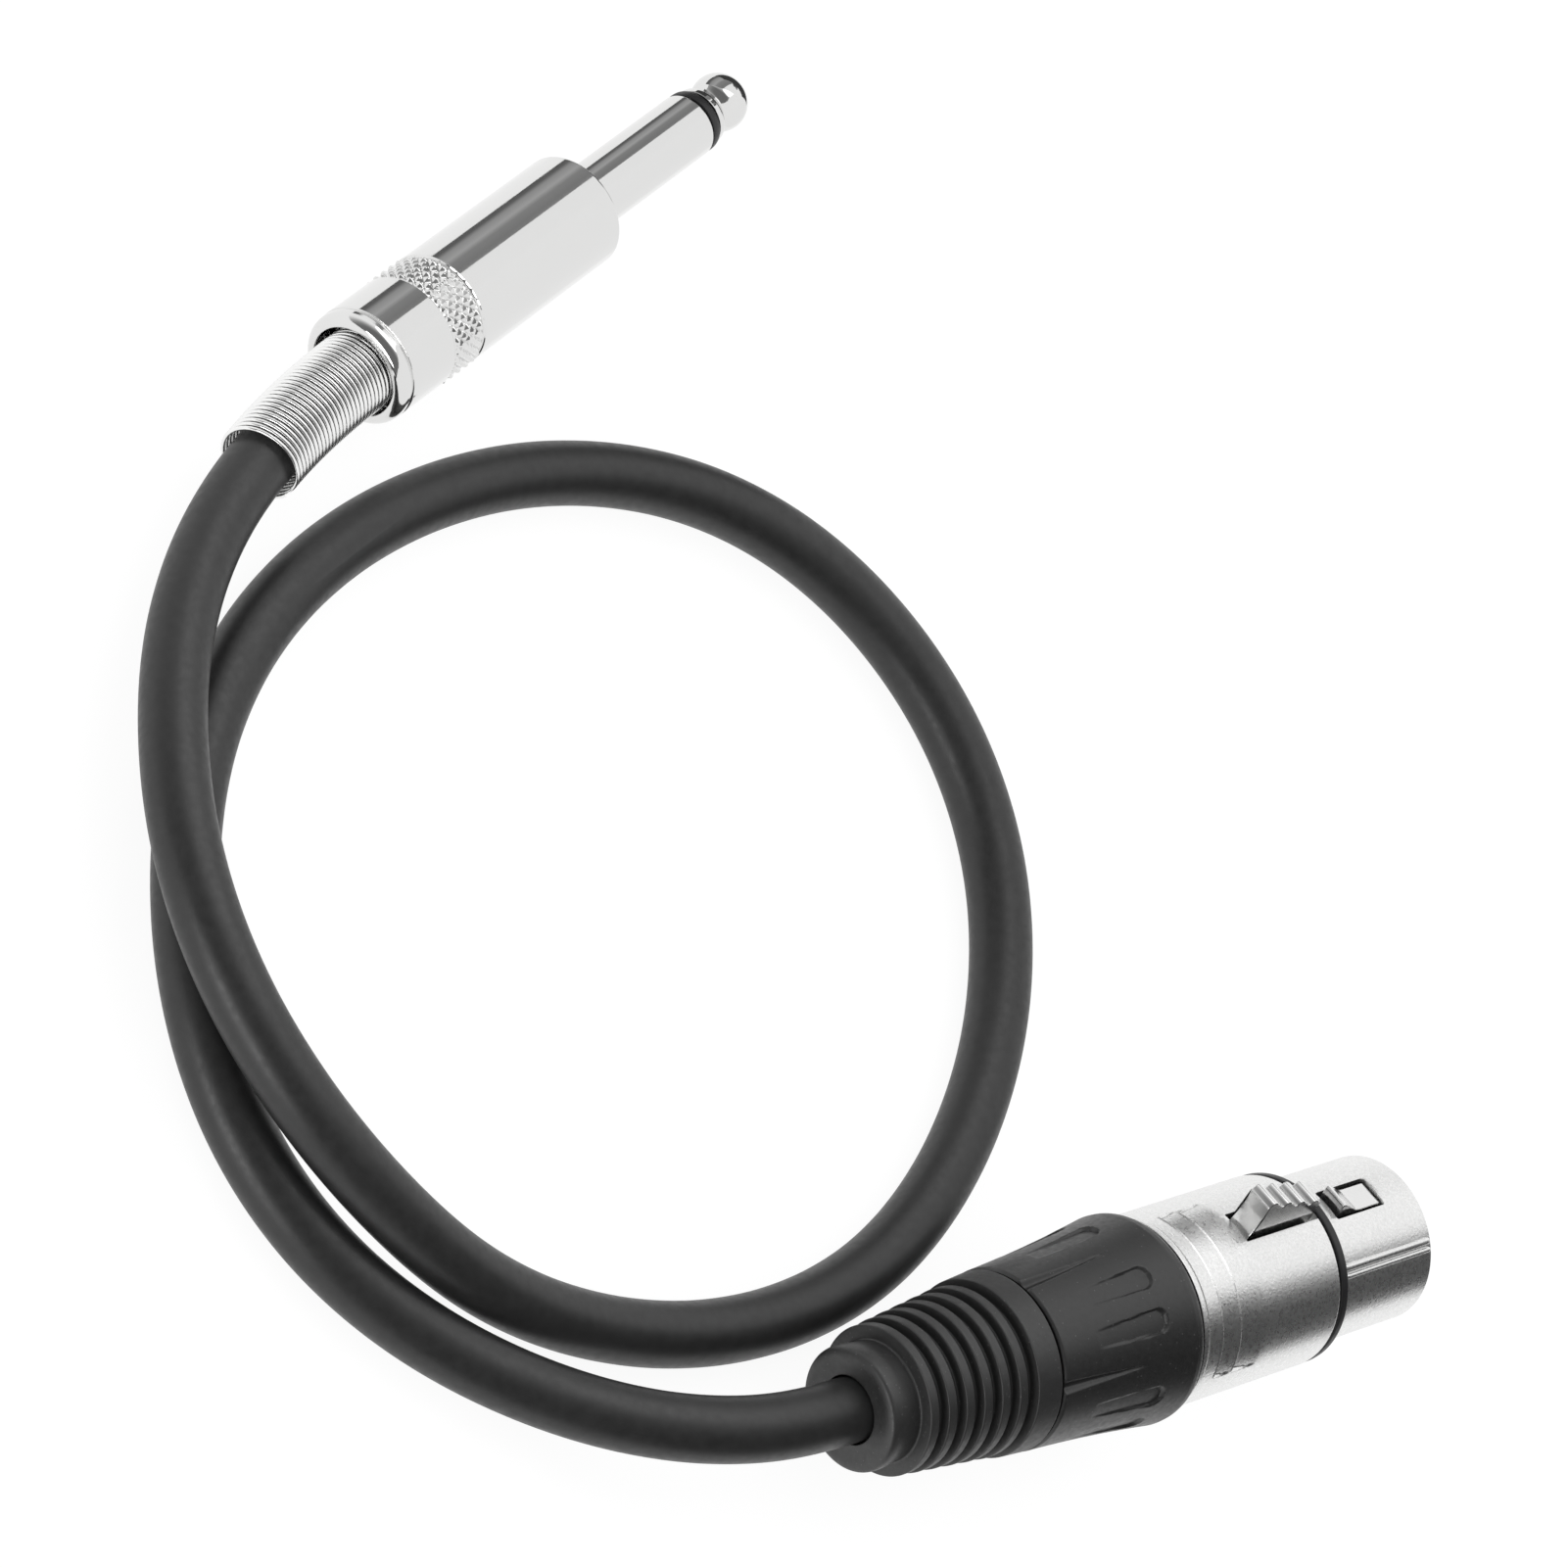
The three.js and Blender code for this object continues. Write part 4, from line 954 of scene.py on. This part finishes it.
class CABLE_OT_nut(bpy.types.Operator):
    """Make the gland nut with its finger grips"""

    bl_idname = "looped_cable.nut"
    bl_label = "Gland nut"

    FRONT, SHOULDER, REAR = 33.4, 34.5, 50.4

    def execute(self, context):
        """The outside is radius(s, a) = outline(s) - pockets(s, a) - grooves(s, a)."""
        chosen = settings("connector")
        big, small = chosen.nut / 2 / MM, chosen.nut_rear / 2 / MM
        front, shoulder, rear = self.FRONT, self.SHOULDER, self.REAR
        turn = angles_round(560)[None]
        bend = rear - 0.35
        behind = np.concatenate([np.linspace(shoulder, bend, 120), bend + np.array([0.1, 0.2, 0.28, 0.33])])
        t = ((behind - shoulder) / (rear - shoulder))[:, None]
        base = big + (small - big) * t - 4 * chosen.nut_sag / MM * t * (1 - t)
        base = base - 0.25 * bump_up(behind, bend, rear)[:, None] ** 2
        behind = behind[:, None]
        carved = base * np.ones_like(turn)
        for group in range(5):
            centre = math.radians(72 * group - 5)
            for side in (-13, 13):
                carved = carved - self.pocket(behind, self.arc(turn, centre + math.radians(side), base))
            carved = carved - self.groove(behind, self.arc(turn, centre + math.radians(36), base))
        before = rounded([
            (8.5, front, 0.0), (big - 0.3, front, 0.22), (big - 0.05, front + 0.45, 0.25),
            (big, shoulder - 0.05, 0.0)], steps=6, closed=False)
        after = rounded([
            (small - 0.2, rear, 0.1), (7.1, rear, 0.0), (7.1, 48.6, 0.1), (7.8, 48.6, 0.1), (7.8, 44.1, 0.1),
            (8.5, 43.6, 0.1), (8.5, front, 0.0)], closed=False)
        outside = wrapped(carved * MM, behind * MM, turn)
        points = np.concatenate([round_the_axis(before, turn), outside, round_the_axis(after, turn)])
        finish(sheet_object("nut", CONNECTOR.place(points)), "nut_plastic", "nut", "xlr_nut")
        return {"FINISHED"}

    def arc(self, turn, centre, base):
        """Distance round the nut from a line at the centre angle, in millimetres."""
        return np.abs((turn - centre + math.pi) % FULL_TURN - math.pi) * base

    def pocket(self, behind, arc):
        """A pocket with a round front, deepest there, that narrows and runs out towards the rear."""
        front, length, corner = self.FRONT + 4.15, 8.4, 1.15
        into = behind - front
        half = 1.3 - 0.4 * np.clip(into / length, 0, 1)
        nose = corner - np.hypot(np.maximum(arc - (half - corner), 0), np.maximum(corner - into, 0))
        inside = np.where(into < corner, nose, half - arc)
        depth = 0.32 * np.clip(1 - into / length, 0, 1) ** 0.75
        return bump_up(inside, 0.0, 0.22) * depth * (into > 0)

    def groove(self, behind, arc):
        """A V groove that widens and deepens from a point towards the rear, where it runs out open."""
        start = self.FRONT + 6.8
        t = np.clip((behind - start) / (self.REAR - start), 0, 1)
        half = 0.1 + 0.66 * t
        return (1 - bump_up(arc / half, 0.1, 1.0)) * 0.55 * t**0.8


class CABLE_OT_boot(bpy.types.Operator):
    """Make the ribbed rubber boot"""

    bl_idname = "looped_cable.boot"
    bl_label = "Boot"

    def execute(self, context):
        chosen = settings("connector")
        pitch, collar = chosen.rib_pitch / MM, chosen.collar / 2 / MM
        flange, neck, bore = 7.5, 6.8, 3.2
        flange_front, flange_rear, front, rear = 45.7, 48.3, 50.7, 53.5
        outer = [
            (flange, flange_front, 0.1), (flange, flange_rear, 0.1), (neck, flange_rear, 0.1),
            (neck, front, 0.05), (collar, front, 0.2), (collar - 0.2, rear, 0.12)]
        for rib in range(chosen.ribs):
            radius = 7.95 - rib / (chosen.ribs - 1)
            end = rear + (rib + 1) * pitch
            outer += [(radius - 0.85, end - pitch + 0.05, 0.15), (radius - 0.85, end - 1.15, 0.2),
                      (radius - 0.02, end - 1.03, 0.14), (radius, end, 0.14)]
        last = rear + chosen.ribs * pitch
        outer += [
            (5.6, last + 0.05, 0.2), (5.6, last + 0.9, 0.6), (5.85, last + 2.5, 0.8), (5.75, last + 3.4, 0.4),
            (5.1, last + 3.6, 0.4), (3.9, last + 3.5, 0.3), (bore, last + 3.5, 0.1)]
        inner = [(bore, flange_front, 0.1), (bore, last + 3.4, 0.05)]
        boot = turned("boot", CONNECTOR, ring_corners(outer, inner))
        finish(boot, "boot_rubber", "boot", "xlr_boot")
        return {"FINISHED"}


class CABLE_OT_handle(bpy.types.Operator):
    """Make the plug's handle with its knurled band"""

    bl_idname = "looped_cable.handle"
    bl_label = "Plug handle"

    def execute(self, context):
        """The knurl's height is the lesser of two sets of ridges, along n a + k s and along n a - k s."""
        chosen = settings("plug")
        radius, band = chosen.handle / 2 / MM, chosen.knurl / 2 / MM
        bore, hole, start, end = 5.0, 4.4, 20.8, 25.3
        turn = angles_round(chosen.diamonds * 12)[None]
        behind = np.linspace(start + 0.12, end - 0.12, 52)[:, None]
        phase = chosen.diamonds * turn / FULL_TURN
        climb = (behind - start) / (FULL_TURN * radius / chosen.diamonds) * 0.98
        ridge = np.minimum(*(1 - np.abs(((phase + way * climb) % 1) * 2 - 1) for way in (-1, 1)))
        fade = bump_up(np.minimum(behind - start, end - behind), 0.1, 0.4)
        low = radius - 0.2
        knurled = (low + (band - low) * np.clip(ridge * 1.25, 0, 1) * fade) * MM
        ahead = rounded([
            (bore, 0.0, 0.0), (radius, 0.0, 0.22), (radius, start - 0.1, 0.03),
            (radius - 0.14, start - 0.02, 0.0), (low, start + 0.1, 0.0)], closed=False)
        after = rounded([
            (low, end - 0.1, 0.0), (radius - 0.05, end, 0.02), (radius, end + 0.1, 0.02),
            (radius, 31.4, 0.03), (radius - 0.22, 31.5, 0.04), (radius - 0.22, 31.68, 0.04),
            (radius - 0.02, 31.78, 0.05),
            (radius - 0.05, 32.5, 0.5), (radius - 0.45, 33.0, 0.35), (radius - 0.95, HANDLE_LENGTH, 0.25),
            (hole, HANDLE_LENGTH, 0.3), (hole, 31.9, 0.1), (bore, 31.3, 0.2), (bore, 0.0, 0.0)], closed=False)
        middle = wrapped(knurled, behind * MM, turn)
        points = np.concatenate([round_the_axis(ahead, turn), middle, round_the_axis(after, turn)])
        finish(sheet_object("handle", PLUG.place(points)), "bright_nickel", "handle", "jack_handle")
        return {"FINISHED"}


class CABLE_OT_plug_contacts(bpy.types.Operator):
    """Make the plug's sleeve, insulating ring and ball tip"""

    bl_idname = "looped_cable.plug_contacts"
    bl_label = "Plug contacts"

    def execute(self, context):
        radius = settings("plug").sleeve / 2 / MM
        front, rear, flange, flange_rear = -18.5, 6.0, 4.7, 3.3
        outer = [
            (radius, front, 0.12), (radius, 0.2, 0.15), (flange, 0.2, 0.2), (flange, flange_rear, 0.1),
            (4.0, flange_rear, 0.1), (4.0, rear, 0.1)]
        inner = [(2.1, front, 0), (2.1, rear, 0)]
        sleeve = turned("sleeve", PLUG, ring_corners(outer, inner))
        finish(sleeve, "bright_nickel", "cable", "jack_sleeve")
        outer = [(radius - 0.1, -19.75, 0.15), (radius - 0.03, -19.3, 0.3), (radius - 0.1, -18.8, 0.15),
                 (1.8, -18.8, 0), (1.8, 6.9, 0)]
        inner = [(1.4, -19.75, 0), (1.4, 6.9, 0)]
        insulator = turned("insulator", PLUG, ring_corners(outer, inner), segments=128)
        finish(insulator, "black_plastic", "cable", "jack_insulator")
        self.add_tip(radius)
        return {"FINISHED"}

    def add_tip(self, radius):
        """A ball whose radius is w sin b at h cos b ahead of its middle, and then a waist and a collar.

        The angle b runs from its nose, w is its half width, and h is its half length ahead of its middle
        and w behind it.
        """
        front, wide, long = -26.45, 2.85, 2.6
        bend = np.radians(np.linspace(0, 118, 30))
        high = np.where(bend < math.pi / 2, long, wide)
        ball = np.stack([wide * np.sin(bend), front + long - high * np.cos(bend)], -1)
        rest = rounded([
            (*ball[-1], 0.0), (2.0, front + 4.45, 0.4), (2.0, front + 4.75, 0.2),
            (2.25, front + 5.15, 0.3), (radius - 0.3, front + 5.6, 0.25), (radius - 0.25, -20.05, 0.1),
            (1.1, -20.05, 0.0), (1.1, 10.5, 0.0), (0, 10.5, 0.0)], closed=False)
        outline = np.concatenate([ball * MM, rest[1:]])
        tip = sheet_object("tip", PLUG.place(round_the_axis(outline, angles_round(128))), closed=False)
        finish(tip, "bright_nickel", "cable", "jack_tip")


class CABLE_OT_spring(bpy.types.Operator):
    """Wind the strain relief spring round the cable"""

    bl_idname = "looped_cable.spring"
    bl_label = "Strain relief spring"

    def execute(self, context):
        """A wire round the helix centre(d) + R(d) (side cos t + up sin t), with t = 2 pi d / pitch."""
        chosen = settings("plug")
        wire, wire_width, curls = chosen.wire / 2, chosen.wire_width / 2, chosen.curls
        jacket_start, start, end = 20.0, 28.63, 48.2
        width, end_width, flare_width = 8.0, 7.8, 9.3
        steps = curls * 40
        centre, side, up = frames_along(np.linspace(start - jacket_start, end - jacket_start, steps + 1) * MM)
        share_along = np.linspace(0, 1, steps + 1)
        turn = FULL_TURN * curls * share_along[:, None]
        flare = 1 - bump_up(share_along * curls, 1.8, 2.6)
        radius = (width + (end_width - width) * share_along) / 2 * MM
        radius = radius + (flare_width / 2 * MM - radius) * flare - wire
        outward = side * np.cos(turn) + up * np.sin(turn)
        middle = centre + outward * radius[:, None]
        ahead = np.gradient(middle, axis=0)
        ahead /= np.linalg.norm(ahead, axis=1)[:, None]
        spring = tube_object("spring", middle, wire * outward, wire_width * np.cross(ahead, outward), 12)
        finish(spring, "spring_steel", "cable", "jack_spring")
        return {"FINISHED"}


class CABLE_OT_inner_parts(bpy.types.Operator):
    """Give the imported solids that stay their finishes"""

    bl_idname = "looped_cable.inner_parts"
    bl_label = "Inner parts"

    def execute(self, context):
        slots = {row["node"]: row["material_slot"] for row in frame["record"]["subparts"]}
        for name, node in frame["nodes"].items():
            if node.hide_render:
                continue
            node.data.materials.clear()
            node.data.materials.append(finish_for(slots[name]))
        return {"FINISHED"}


# ---------------- the add-on


GROUPS = {
    "cable": CableSettings, "connector": ConnectorSettings, "plug": PlugSettings, "studio": StudioSettings}

OPERATORS = (
    CABLE_OT_studio, CABLE_OT_jacket, CABLE_OT_shell, CABLE_OT_insert, CABLE_OT_latch, CABLE_OT_nut,
    CABLE_OT_boot, CABLE_OT_handle, CABLE_OT_plug_contacts, CABLE_OT_spring, CABLE_OT_inner_parts)


class CABLE_PT_panel(bpy.types.Panel):
    """Sizes, colours and makers of the looped cable"""

    bl_idname = "CABLE_PT_panel"
    bl_label = "Looped Audio Cable"
    bl_space_type = "VIEW_3D"
    bl_region_type = "UI"
    bl_category = "Cable"

    def draw(self, context):
        for name, group in GROUPS.items():
            box = self.layout.box()
            box.label(text=name.capitalize())
            for prop in group.__annotations__:
                box.prop(settings(name), prop)
        for operator in OPERATORS:
            self.layout.operator(operator.bl_idname)


def register():
    for kind in (*GROUPS.values(), *OPERATORS, CABLE_PT_panel):
        bpy.utils.register_class(kind)
    for name, group in GROUPS.items():
        setattr(bpy.types.Scene, "looped_cable_" + name, bpy.props.PointerProperty(type=group))


def unregister():
    for name in GROUPS:
        delattr(bpy.types.Scene, "looped_cable_" + name)
    for kind in reversed((*GROUPS.values(), *OPERATORS, CABLE_PT_panel)):
        bpy.utils.unregister_class(kind)


def main():
    register()
    for operator in OPERATORS:
        group, name = operator.bl_idname.split(".")
        getattr(getattr(bpy.ops, group), name)()


if __name__ == "__main__":
    main()
